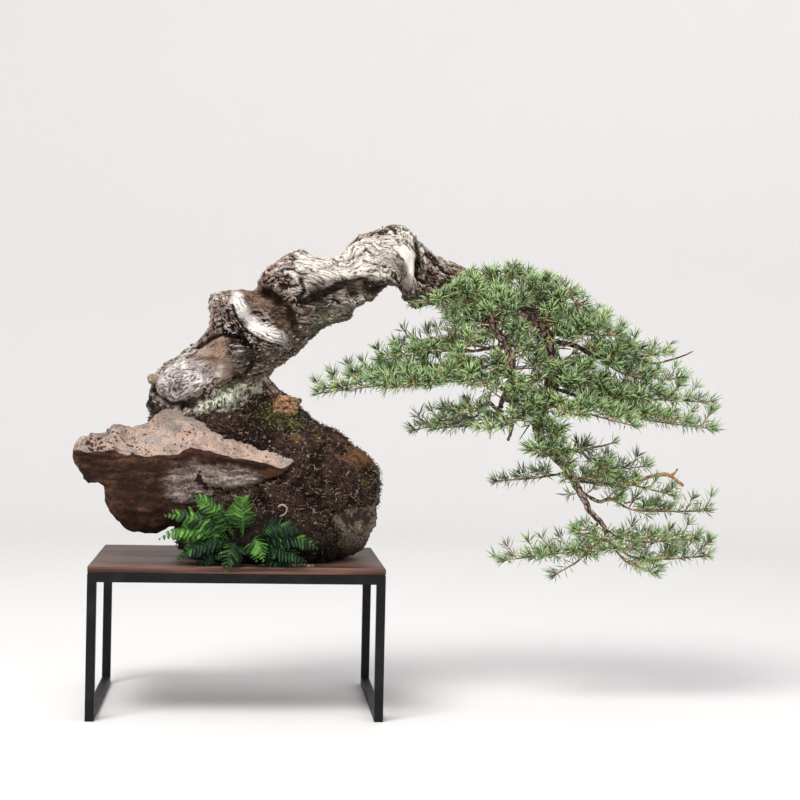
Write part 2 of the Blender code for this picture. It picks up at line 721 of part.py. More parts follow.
def branch_twig(route, bare):
    """The spray's middle twig: straight on from the wood's end for one band, then along the route to the tip."""
    wood = branch_wood(route, bare)
    start = wood[-1] + unit(wood[-1] - wood[-2]) * (GAP + CAP_ROOM)
    smooth = between(route, ROUTE_SAMPLES)
    tip = lengths_along(smooth)[-1] - NEEDLE_LENGTH * TIP_SHARE
    onward = stretch(smooth, bare + FIRST_BAND + NEEDLE_BAND + TWIG_STEP, tip, TWIG_STEP)
    ahead = start + unit(wood[-1] - wood[-2]) * (FIRST_BAND + NEEDLE_BAND)
    return np.concatenate([[start, ahead], onward])


def taper(count, start, end, bend=1.0):
    return start + (end - start) * np.linspace(0, 1, count) ** bend


def woody_routes():
    """Each limb as (name, points, radii, sides setting): the stems, roots, stubs and branches."""
    limbs = []
    for name, points in STEMS.items():
        run = route_points(points)
        limbs.append((name, run, taper(len(run), *STEM_WIDTHS[name], bend=STEM_BEND), 2))
    for group in (ROOTS, STUBS):
        for name, (points, start, end) in group.items():
            run = route_points(points)
            limbs.append((name, run, taper(len(run), start, end), 1))
    for name, (route, start, bare) in BRANCHES.items():
        run = branch_wood(route, bare)
        limbs.append((name, run, taper(len(run), start, BRANCH_END), 0))
    return limbs


def make_foot_room(helpers):
    """A cutter in the shape of the trunk's foot and its roots, larger all round by the gap."""
    foot = trunk_surface(TRUNK_ALONG, TRUNK_ROUND)[:FOOT_RINGS]
    inner = as_helper(lofted("foot", foot, helpers, None))
    room = grown_copy(inner, "foot_room", helpers)
    remove(inner)
    roots = []
    for name, (points, start, end) in ROOTS.items():
        run = route_points(points)
        run[-1] += unit(run[-1] - run[-2]) * GAP
        roots.append(tube_object(f"room_{name}", run, taper(len(run), start, end) + 1.5 * GAP, 1, helpers))
    return joined(room, roots, "root_rooms")


def make_trunk_and_branches(parts, finish, cutters):
    trunk = lofted("trunk_and_branches", trunk_surface(TRUNK_ALONG, TRUNK_ROUND), parts, finish)
    limbs = []
    for name, run, radii, sides in woody_routes():
        limbs.append(tube_object(f"limb_{name}", run, radii, sides, parts))
    joined(trunk, limbs, "limbs")
    for cutter in cutters:
        cut(trunk, cutter)
    return trunk


# Needle sprays


class Crowd:
    """All the twigs and needles placed so far, as straight pieces with a radius and their node's name."""

    def __init__(self):
        self.starts = np.empty((0, 3))
        self.ends = np.empty((0, 3))
        self.radii = np.empty(0)
        self.owners = np.empty(0, dtype=object)

    def add(self, points, radii, owner):
        self.starts = np.concatenate([self.starts, points[:-1]])
        self.ends = np.concatenate([self.ends, points[1:]])
        self.radii = np.concatenate([self.radii, np.maximum(radii[:-1], radii[1:])])
        self.owners = np.concatenate([self.owners, np.full(len(points) - 1, owner, dtype=object)])

    def room(self, start, end, radius, passed_over):
        """The free width round a straight piece, apart from the pieces of the owners passed over."""
        keep = ~np.isin(self.owners, passed_over)
        near = np.linalg.norm((self.starts + self.ends - start - end) / 2, axis=1) < NEARBY
        keep &= near
        if not keep.any():
            return math.inf
        gap = apart(start, end, self.starts[keep], self.ends[keep])
        return float((gap - self.radii[keep] - radius).min())


def apart(start, end, starts, ends):
    """The least distance from one straight piece to each of many, its nearest points clamped to their ends."""
    own, other = end - start, ends - starts
    offset = start - starts
    own_own = own @ own
    other_other = np.einsum("ij,ij->i", other, other)
    own_other = other @ own
    own_offset = offset @ own
    other_offset = np.einsum("ij,ij->i", other, offset)
    scale = np.maximum(own_own * other_other - own_other**2, 1e-9)
    on_own = np.clip((own_other * other_offset - other_other * own_offset) / scale, 0, 1)
    on_other = np.clip((own_other * on_own + other_offset) / other_other, 0, 1)
    on_own = np.clip((own_other * on_other - own_offset) / own_own, 0, 1)
    return np.linalg.norm(offset + on_own[:, None] * own - on_other[:, None] * other, axis=1)


def unit(vector):
    return vector / np.linalg.norm(vector)


def side_twigs(draw, middle):
    """Side twigs that leave the middle twig to its left and right in turn, in a flat fan rising a little."""
    length = lengths_along(middle)[-1]
    count = max(2, round(length / SIDE_TWIG_SPACING))
    side = draw.choice((-1, 1))
    twigs = []
    for index in range(count):
        share = (index + 0.45 + draw.uniform(-1, 1) * SIDE_TWIG_PLACE_VARIES) / (count + 0.4)
        behind, foot, ahead = at_length(middle, share * length + np.array([-TWIG_RADIUS, 0, TWIG_RADIUS]))
        forward = unit(ahead - behind)
        sideways = unit(np.cross(forward, (0, 0, 1))) * side
        turn = math.radians(SIDE_TWIG_ANGLE + draw.uniform(-1, 1) * SIDE_TWIG_ANGLE_VARIES)
        heading = forward * math.cos(turn) + sideways * math.sin(turn)
        heading[2] += draw.uniform(0, SIDE_TWIG_RISE)
        wanted = SIDE_TWIG_LENGTHS[1] * (1.2 - share) * (1 + draw.uniform(-1, 1) * SIDE_TWIG_LENGTH_VARIES)
        size = np.clip(wanted, *SIDE_TWIG_LENGTHS)
        twigs.append(stretch(np.array([foot, foot + unit(heading) * size]), 0, size, TWIG_STEP))
        side = -side
    return twigs


def placed_twigs(draw, crowd):
    """Every spray's twigs, with side twigs that would run into another node turned away or left out."""
    sprays = {}
    for name, (route, _, bare) in BRANCHES.items():
        node = f"spray_{name}"
        middle = banded(branch_twig(route, bare), FIRST_BAND)
        crowd.add(middle[0], taper(len(middle[0]), TWIG_START_RADIUS, TWIG_TIP_RADIUS), node)
        sprays[node] = [middle]
    for name, (route, _, bare) in BRANCHES.items():
        node = f"spray_{name}"
        for twig in side_twigs(draw, sprays[node][0][0]):
            for attempt in range(TWIG_TRIES):
                lift = np.array([0, 0, TWIG_LIFT]) * ((attempt + 1) // 2) * (-1) ** attempt
                moved = twig + lift * np.linspace(0, 1, len(twig))[:, None]
                free = [
                    crowd.room(start, end, TWIG_RADIUS, [node, f"limb_{name}"])
                    for start, end in zip(moved[:-1], moved[1:])
                ]
                if min(free) > 2 * CLEARANCE:
                    sprays[node].append(banded(moved, SIDE_FIRST_BAND))
                    crowd.add(moved, np.full(len(moved), TWIG_RADIUS), node)
                    break
    return sprays


def banded(twig, first_band):
    """The twig's points, two close together for each band of needles, and each point's turn about the twig."""
    length = lengths_along(twig)[-1]
    last_band = length - NEEDLE_BAND
    count = max(1, round((last_band - first_band) / BAND_SPACING) + 1)
    marks, turns = [0.0], [0.0]
    for index, first in enumerate(np.linspace(last_band, first_band, count)[::-1]):
        marks += [first, first + NEEDLE_BAND]
        turns += [index % 2 * math.pi / 4] * 2
    return at_length(twig, marks), turns


def needled_twig(draw, name, node, twig, start_radius, crowd, parts):
    """A four-sided twig with every face of its needle bands drawn out into a needle."""
    points, turns = twig
    count = len(points)
    curve = bpy.data.curves.new(name, "CURVE")
    curve.dimensions = "3D"
    curve.bevel_depth = MM
    curve.bevel_resolution = 0
    curve.use_fill_caps = True
    spline = curve.splines.new("POLY")
    spline.points.add(count - 1)
    radii = taper(count, start_radius, TWIG_TIP_RADIUS)
    for point, place, radius, turn in zip(spline.points, points, radii, turns):
        point.co = (*(place * MM), 1.0)
        point.radius = radius
        point.tilt = turn
    wire = bpy.data.objects.new(name, curve)
    parts.objects.link(wire)
    mesh = evaluated_mesh(wire)
    remove(wire)
    bpy.data.curves.remove(curve)
    form = bmesh.new()
    form.from_mesh(mesh)
    bmesh.ops.remove_doubles(form, verts=form.verts, dist=WELD * MM)
    form.normal_update()
    end = Vector(points[-1] * MM)
    cap = min(form.faces, key=lambda face: (face.calc_center_median() - end).length)
    grow_needle(draw, form, cap, unit(points[-1] - points[-3]), node, crowd)
    for index in range(1, count - 1, 2):
        middle = (points[index] + points[index + 1]) / 2
        along = unit(points[index + 1] - points[index])
        for face in band_faces(form, middle, along):
            grow_needle(draw, form, face, along, node, crowd)
    form.to_mesh(mesh)
    form.free()
    return mesh_object(name, mesh, parts)


def band_faces(form, middle, along):
    """The side faces of the short band whose middle is given."""
    found = []
    for face in form.faces:
        if len(face.verts) != 4:
            continue
        offset = np.array(face.calc_center_median()) / MM - middle
        if abs(offset @ along) < NEEDLE_BAND / 4 and np.linalg.norm(offset) < TWIG_START_RADIUS:
            found.append(face)
    return found


def grow_needle(draw, form, face, along, node, crowd):
    """Pokes the face and pulls its middle out to a needle's point, leaning forward, where it has room."""
    base = np.array(face.calc_center_median()) / MM
    normal = np.array(face.normal)
    for attempt in range(NEEDLE_TRIES):
        spread = NEEDLE_SPREAD * (1 + attempt)
        heading = unit(normal + along * NEEDLE_LEAN + draw.uniform(-spread, spread, 3))
        length = NEEDLE_LENGTH * draw.uniform(*NEEDLE_LENGTH_VARIES) * (1 - NEEDLE_SHORTENS * attempt)
        root, point = base + heading * NEEDLE_ROOT, base + heading * length
        if heading @ normal < LEAST_FACING or crowd.room(root, point, NEEDLE_RADIUS, []) < CLEARANCE:
            continue
        top = bmesh.ops.poke(form, faces=[face])["verts"][0]
        top.co = Vector(point * MM)
        crowd.add(np.array([root, point]), np.full(2, NEEDLE_RADIUS), node)
        return


def make_needle_sprays(parts, finish):
    draw = np.random.default_rng(SEED)
    crowd = Crowd()
    for name, run, radii, _ in woody_routes():
        crowd.add(run, radii, f"limb_{name}")
    rings = trunk_surface(TRUNK_ALONG, TRUNK_ROUND)[TRUNK_ALONG // 2:]
    spine = rings.mean(axis=1)
    crowd.add(spine, np.linalg.norm(rings - spine[:, None], axis=-1).max(axis=1), "trunk")
    made = []
    for node, twigs in placed_twigs(draw, crowd).items():
        pieces = [needled_twig(draw, f"{node}_middle", node, twigs[0], TWIG_START_RADIUS, crowd, parts)]
        for index, twig in enumerate(twigs[1:]):
            pieces.append(needled_twig(draw, f"{node}_side_{index}", node, twig, TWIG_RADIUS, crowd, parts))
        spray = pieces[0]
        if len(pieces) > 1:
            joined(spray, pieces[1:], f"{node}_twigs", solver="MANIFOLD")
        keep_largest(spray.data)
        spray.name = node
        spray.data.materials.clear()
        spray.data.materials.append(finish)
        made.append(spray)
    return made


# Ferns


def frond_run(foot, tip, bow):
    share = np.linspace(0, 1, FROND_STATIONS + 1)[:, None]
    foot, tip = np.array(foot, float), np.array(tip, float)
    return foot + (tip - foot) * share + np.array(BOW_WAY) * bow * 4 * share * (1 - share)


def make_frond(index, foot, tip, bow, facing, parts, finish):
    """A rib with a leaflet to each side at every station, cut from one thin arched sheet."""
    run = frond_run(foot, tip, bow)
    inward = unit(run[0] - run[1])
    run = np.concatenate([[run[0] + inward * STEM_DEPTH], run])
    ahead = np.gradient(run, axis=0)
    ahead /= np.linalg.norm(ahead, axis=1, keepdims=True)
    aside = np.cross(ahead, facing)
    aside /= np.linalg.norm(aside, axis=1, keepdims=True)
    face = np.cross(aside, ahead)
    points, faces = [], []
    for station in range(len(run) - 1):
        step = run[station + 1] - run[station]
        for share in (0.0, LEAFLET_ROOT_SHARE):
            centre = run[station] + step * share
            points += [centre - aside[station] * FROND_RIB, centre + aside[station] * FROND_RIB]
    last = len(points)
    points.append(run[-1])
    for row in range(0, last - 2, 2):
        faces.append((row, row + 1, row + 3, row + 2))
    faces.append((last - 2, last - 1, last))
    bare = round(FROND_BARE_SHARE * FROND_STATIONS) + 1
    for station in range(bare, len(run) - 1):
        wave = np.interp(station, (bare, len(run) - 1), LEAFLET_WAVE)
        size = LEAFLET_LENGTH * math.sin(math.pi * wave)
        for side, near in ((-1, 0), (1, 1)):
            corner = 4 * station + near
            root = (points[corner] + points[corner + 2]) / 2
            reach = aside[station] * side + ahead[station] * LEAFLET_LEAN - face[station] * LEAFLET_DROOP
            points.append(root + unit(reach) * size)
            ends = (corner + 2, corner, len(points) - 1)
            faces.append(ends if side < 0 else ends[::-1])
    mesh = bpy.data.meshes.new(f"fern_frond_{index:02d}")
    mesh.from_pydata((np.array(points) * MM).tolist(), [], faces)
    form = bmesh.new()
    form.from_mesh(mesh)
    bmesh.ops.recalc_face_normals(form, faces=form.faces)
    form.to_mesh(mesh)
    form.free()
    frond = mesh_object(mesh.name, mesh, parts, finish)
    thick = frond.modifiers.new("leaf thickness", "SOLIDIFY")
    thick.thickness = FROND_THICKNESS * MM
    thick.offset = 0.0
    return frond


def make_stem_hole(index, foot, tip, bow, helpers):
    run = frond_run(foot, tip, bow)
    inward = unit(run[0] - run[1])
    ends = np.array([run[0] - inward * 3 * STEM_DEPTH, run[0] + inward * (STEM_DEPTH + GAP)])
    return as_helper(tube_object(f"stem_hole_{index:02d}", ends, (STEM_HOLE, STEM_HOLE), 1, helpers))


def main():
    clear_scene()
    parts = new_collection("douglas_fir_bonsai")
    helpers = new_collection("cutters", helper=True)
    finishes = {name: material(name) for name in FINISHES}
    make_stand_frame(parts, finishes["blue_black_steel"])
    make_stand_top(parts, finishes["walnut"])
    slab = make_slab_stone(parts, finishes["red_stone"])
    base = make_base_stone(parts, finishes["dark_stone"])
    chip = make_bark_chip(parts, finishes["chip_bark"])
    slab_room, base_room, chip_room = (
        grown_copy(piece, f"{piece.name}_room", helpers) for piece in (slab, base, chip)
    )
    make_trunk_and_branches(parts, finishes["bark"], [slab_room])
    stem_holes = []
    for index, (foot, tip, bow, facing) in enumerate(FRONDS, start=1):
        make_frond(index, foot, tip, bow, facing, parts, finishes["fern_leaf"])
        stem_holes.append(make_stem_hole(index, foot, tip, bow, helpers))
    rooms = [slab_room, make_foot_room(helpers), base_room, chip_room]
    make_soil_mound(parts, finishes["soil_and_moss"], rooms + stem_holes)
    make_needle_sprays(parts, finishes["needles"])
    settle_origin(parts)


def settle_origin(parts):
    """Hangs every part on one empty, placed so that the origin is the middle of the object's footprint box."""
    bpy.context.view_layer.update()
    graph = bpy.context.evaluated_depsgraph_get()
    corners = []
    for obj in parts.objects:
        shown = obj.evaluated_get(graph)
        corners += [shown.matrix_world @ Vector(corner) for corner in shown.bound_box]
    low, high = np.min(corners, axis=0), np.max(corners, axis=0)
    origin = bpy.data.objects.new("bonsai_origin", None)
    for obj in parts.objects:
        obj.parent = origin
    parts.objects.link(origin)
    origin.location = (-(low[0] + high[0]) / 2, -(low[1] + high[1]) / 2, -low[2])


main()
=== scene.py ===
"""The looks of a douglas fir bonsai on stone: finer surfaces and finishes round the fixed model.

Lengths below are millimetres, measured from the middle of the stand's footprint on the floor, with the
front at -Y. A mesh's points become metres, and move to the fixed model's place, as the mesh is made.
"""

import math

import bpy
import numpy as np
from bpy.props import FloatProperty, FloatVectorProperty, IntProperty, PointerProperty
from mathutils import Matrix, Vector


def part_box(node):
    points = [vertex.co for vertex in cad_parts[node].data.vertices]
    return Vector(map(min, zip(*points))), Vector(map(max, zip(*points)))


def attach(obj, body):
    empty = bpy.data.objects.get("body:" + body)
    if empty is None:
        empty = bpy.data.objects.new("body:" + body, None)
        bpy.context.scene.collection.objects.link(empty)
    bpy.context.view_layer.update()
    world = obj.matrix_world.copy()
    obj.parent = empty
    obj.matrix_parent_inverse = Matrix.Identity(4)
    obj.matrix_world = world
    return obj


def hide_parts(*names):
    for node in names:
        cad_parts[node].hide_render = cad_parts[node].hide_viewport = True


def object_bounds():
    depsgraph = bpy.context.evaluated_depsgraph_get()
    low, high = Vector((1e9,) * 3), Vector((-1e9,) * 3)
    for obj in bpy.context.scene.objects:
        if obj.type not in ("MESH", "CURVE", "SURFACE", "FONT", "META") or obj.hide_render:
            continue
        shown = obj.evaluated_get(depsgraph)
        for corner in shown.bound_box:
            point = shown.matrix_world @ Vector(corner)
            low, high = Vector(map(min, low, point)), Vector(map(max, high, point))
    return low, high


bl_info = {
    "name": "Douglas fir bonsai on stone",
    "version": (1, 0, 0),
    "blender": (4, 5, 0),
    "location": "3D View > Sidebar > Bonsai",
    "description": "Makes the tree, its stones, soil, ferns and stand, and the studio round them",
    "category": "Add Mesh",
}

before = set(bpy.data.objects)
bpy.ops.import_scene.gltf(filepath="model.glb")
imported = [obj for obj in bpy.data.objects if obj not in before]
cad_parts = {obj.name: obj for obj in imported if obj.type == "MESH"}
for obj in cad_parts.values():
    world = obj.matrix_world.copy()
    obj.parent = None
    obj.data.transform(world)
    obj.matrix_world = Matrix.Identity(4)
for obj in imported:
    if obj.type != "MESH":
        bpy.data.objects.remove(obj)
MODEL_BOX = [list(corner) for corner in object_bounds()]

# A millimetre, and how near points may come to the fixed model's box, both in metres
MM = 0.001
BOX_MARGIN = 0.003

# Stand: the same sizes as the fixed model's
STAND_WIDTH = 420.0
STAND_DEPTH = 290.0
STAND_HEIGHT = 219.0
BOARD_THICKNESS = 10.0
BOARD_CORNER = (-STAND_WIDTH / 2, -STAND_DEPTH / 2, STAND_HEIGHT - BOARD_THICKNESS)
# From the middle of the stand's footprint to the fixed model's place
SHIFT = np.array(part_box("stand_top")[0]) / MM - BOARD_CORNER
# How far above the board the stone and the soil begin
BOARD_GAP = 0.3

# Slab stone: at each place along X the height of its ridge, of its front lip and of its underside, then the
# places in Y of its lip and its back
SLAB_STATIONS = (
    (-243, 379, 375, 368, -62, -44),
    (-234, 393, 378, 350, -74, -22),
    (-220, 402, 377, 332, -82, -6),
    (-200, 405, 376, 322, -86, 4),
    (-184, 415, 381, 282, -88, 10),
    (-165, 409, 376, 262, -90, 14),
    (-143, 415, 374, 259, -92, 18),
    (-113, 433, 374, 259, -93, 20),
    (-88, 434, 378, 267, -94, 20),
    (-67, 432, 387, 280, -94, 18),
    (-45, 418, 381, 303, -95, 12),
    (-20, 403, 374, 315, -96, 4),
    (8, 397, 370, 323, -97, -12),
    (34, 387, 364, 333, -98, -34),
    (58, 377, 357, 346, -98, -56),
    (77, 370, 366, 361, -94, -78),
)
# How the stone's section goes round: how far forward each corner lies, and which heights it lies between
SLAB_SECTION = (
    (0.00, "bottom", "ridge", 0.50),
    (0.07, "bottom", "ridge", 0.78),
    (0.22, "bottom", "ridge", 0.95),
    (0.45, "bottom", "ridge", 1.00),
    (0.74, "lip", "ridge", 0.62),
    (0.97, "lip", "ridge", 0.08),
    (1.00, "bottom", "lip", 0.92),
    (0.91, "bottom", "lip", 0.70),
    (0.78, "bottom", "lip", 0.30),
    (0.58, "bottom", "lip", 0.00),
    (0.28, "bottom", "ridge", 0.03),
    (0.05, "bottom", "ridge", 0.24),
)
# The lip's place in that section, counted in corners
SLAB_LIP = 5.5
# Rings along each skin and points round it, then its noises as cells and heights, and their seed
SLAB_ALONG = 220
SLAB_ROUND = 210
SLAB_LUMPS = ((34, 3.5), (15, 2.0))
SLAB_SEED = 3
# Deep holes in the stone's upper left end: X, Y, Z and radius
SLAB_HOLES = (
    (-219, -66, 384, 5), (-208, -72, 380, 4), (-200, -62, 389, 4), (-192, -52, 396, 6),
    (-212, -54, 391, 3.5), (-226, -60, 381, 3.5), (-184, -72, 384, 4), (-203, -80, 377, 4),
    (-176, -60, 393, 3), (-190, -76, 381, 3), (-197, -40, 401, 4), (-214, -78, 377, 3),
)
# Layered patches on its lower face: middle and spread
SLAB_PATCHES = (((-66, -90, 330), (46, 70, 34)), ((-16, -80, 338), (50, 70, 22)))
# Greyer places on its upper face: height, middle and spread
SLAB_GREY = (
    (1.1, (-92, -20, 430), (62, 90, 32)),
    (0.9, (-196, -40, 400), (44, 60, 22)),
    (0.8, (-8, -60, 392), (26, 40, 16)),
)
# The rough end, where the holes are: middle and spread
SLAB_ROUGH_END = ((-205, -60, 392), (42, 60, 26))

# Base stone: along X its top, its underside above the board, its front and its back
BASE_STATIONS = (
    (-66, 16, 6, -20, 22),
    (-50, 34, 0, -46, 46),
    (-14, 58, 0, -66, 70),
    (36, 82, 0, -76, 84),
    (88, 112, 0, -82, 88),
    (136, 128, 0, -78, 82),
    (170, 130, 6, -64, 66),
    (192, 122, 26, -44, 46),
    (205, 104, 62, -18, 20),
)
BASE_ALONG = 90
BASE_ROUND = 100
BASE_SQUARENESS = 0.8
BASE_LUMPS = ((38, 4.0), (16, 1.6))
BASE_SEED = 11

# Soil mound: at each height above the board its left, right, front and back
MOUND_STATIONS = (
    (0, -52, 156, -92, 74),
    (10, -76, 170, -110, 96),
    (28, -86, 186, -116, 106),
    (46, -90, 197, -111, 109),
    (68, -92, 194, -104, 109),
    (84, -94, 203, -100, 108),
    (104, -102, 210, -97, 107),
    (126, -116, 210, -92, 106),
    (148, -130, 195, -86, 104),
    (173, -140, 164, -74, 102),
    (197, -138, 127, -57, 94),
    (214, -122, 97, -44, 82),
    (231, -66, 79, -32, 56),
    (243, 2, 64, -14, 32),
)
MOUND_ALONG = 120
MOUND_ROUND = 280
MOUND_SQUARENESS = 0.88
MOUND_LUMPS = ((40, 5.0), (17, 2.6))
MOUND_SEED = 21
# The mound's middle, seen from above, and how far its low right side is drawn in towards it
MOUND_MIDDLE = (90.0, 0.0, 0.0)
MOUND_DRAWN_IN = 15
# How far behind the slab stone's face the soil stays
SOIL_BEHIND_SLAB = 7
# Warm-coloured and mossy places on the mound: height, middle and spread
WARM_SOIL = (
    (1, (180, -24, 372), (36, 60, 40)),
    (0.7, (60, -40, 452), (26, 40, 16)),
    (0.55, (110, -60, 400), (60, 50, 30)),
)
MOSSY_SOIL = (
    (1.1, (52, -40, 432), (46, 40, 20)),
    (1, (178, -34, 338), (18, 40, 16)),
    (0.5, (10, 60, 420), (70, 50, 50)),
    (0.4, (120, 70, 330), (60, 50, 50)),
    (0.6, (92, -40, 410), (40, 40, 16)),
)
# Paths that the pale lichen and the bare rock follow
LICHEN_PATH = ((-60, -40, 444), (-14, -44, 452), (32, -36, 468))
ROCK_PATH = ((198, -14, 350), (196, -24, 322), (194, -34, 308))
# Where the painted shade low on the mound reaches higher, in the hollow at the front: by how much, its
# middle and its spread
SHADED_HOLLOW = (34, (0, -100, 270), (110, 40, 60))
# A pale curved rootlet at the mound's front, and where crumbs lie on the board, along X and along Y
PALE_ROOTLET = ((56, -108, 302), (62, -113, 306), (68, -113, 301), (66, -111, 293), (58, -110, 289))
SPILLED_AREA = ((30, 108), (-133, -112))
# A crumb's corners round its middle, and all its corners
CRUMB_SIDES = 5
CRUMB_CORNERS = CRUMB_SIDES + 2

CHIP_PLACE = (66, -35, 445)
CHIP_SIZE = (34, 14, 24)
CHIP_LEAN = (0.35, 0.1, 0.0)
CHIP_ALONG = 44
CHIP_ROUND = 84

# Trunk: the upper and the lower edge of its outline in X and Z, half its depth, and its middle in Y
TRUNK_STATIONS = (
    (-112, 404, 6, 392, 46, 16),
    (-132, 430, 28, 446, 58, 14),
    (-139, 462, 35, 472, 62, 12),
    (-123, 493, 41, 490, 62, 10),
    (-68, 537, 66, 514, 60, 8),
    (-49, 574, 86, 534, 58, 6),
    (-44, 606, 113, 556, 62, 5),
    (4, 620, 143, 572, 58, 4),
    (26, 640, 156, 580, 56, 4),
    (74, 672, 168, 592, 52, 3),
    (130, 668, 186, 610, 42, 2),
    (168, 698, 205, 620, 43, 1),
    (226, 714, 227, 628, 45, 0),
    (256, 700, 243, 612, 41, 0),
    (286, 677, 261, 600, 34, 0),
    (337, 654, 312, 610, 22, 0),
)
TRUNK_ALONG = 400
TRUNK_ROUND = 236
TRUNK_TWIST = 1.1
TRUNK_FLUTES = 5
TRUNK_FLUTE_DEPTH = 3.6
# Burls and creases: their middle, how far they spread, and how far they stand out
TRUNK_BURLS = (
    (-78, -45, 486, 38, 12),
    (-36, -50, 516, 15, -13),
    (-34, -42, 588, 24, 13),
    (16, -50, 582, 20, -12),
    (22, -46, 530, 26, 8),
    (54, -42, 636, 28, 14),
    (104, -45, 602, 22, -11),
    (150, -40, 660, 18, -4),
    (190, -42, 652, 24, 8),
    (226, -8, 708, 17, 8),
    (252, -32, 658, 12, -10),
    (-60, 60, 500, 34, 10),
    (18, 60, 560, 22, 11),
    (62, 56, 610, 16, -9),
    (120, 44, 640, 22, 9),
    (210, 42, 660, 20, 7),
)

# Woody parts that grow out of the trunk: each route starts inside what carries it
STEMS = {
    "descending_stem": (
        (322, 0, 634), (360, 5, 616), (397, 8, 609), (434, 8, 591), (459, 5, 557), (469, 0, 520),
        (466, -5, 478), (452, -8, 444), (448, -8, 410), (476, -8, 375), (498, -8, 350), (515, -8, 323),
        (533, -8, 291), (552, -8, 272), (558, -8, 248),
    ),
    "front_stem": (
        (345, 0, 622), (369, -25, 578), (392, -31, 544), (403, -31, 507), (393, -28, 469), (383, -25, 440),
    ),
}
STEM_WIDTHS = {"descending_stem": (24, 3.2), "front_stem": (13, 3.6)}
STEM_BEND = 0.55
ROOTS = {
    "left_root": (((-100, 14, 460), (-112, 24, 432), (-110, 30, 406), (-96, 30, 380)), 17, 5),
    "back_root": (((-60, 46, 464), (-50, 60, 432), (-36, 64, 402), (-20, 60, 380)), 16, 6),
    "right_root": (((20, 0, 486), (52, 6, 458), (74, 4, 434), (84, 0, 418)), 15, 6),
}
STUBS = {
    "left_stub": (((-110, -16, 474), (-132, -22, 482), (-139, -24, 484)), 9, 7.5),
    "hanging_stub": (((410, -20, 452), (405, -22, 418), (400, -22, 399)), 3.6, 2.6),
    "grey_twig": (((600, -8, 527), (624, -15, 521), (654, -17, 528), (684, -15, 541)), 2.4, 1.3),
    "forked_jin": (
        (
            (582, -32, 337), (606, -33, 346), (626, -36, 353), (645, -37, 353), (657, -37, 344),
            (668, -37, 336),
        ), 3.8, 2.2,
    ),
    "jin_fork": (((646, -37, 351), (653, -37, 356), (658, -37, 363)), 2.3, 1.4),
    "loop_left": (
        ((384, -26, 443), (370, -20, 456), (361, -16, 448), (352, -18, 436), (331, -28, 431)), 3.0, 1.6,
    ),
    "loop_right": (
        ((383, -25, 440), (400, -22, 432), (420, -18, 434), (432, -12, 444), (450, -8, 448)), 3.6, 3.6,
    ),
}
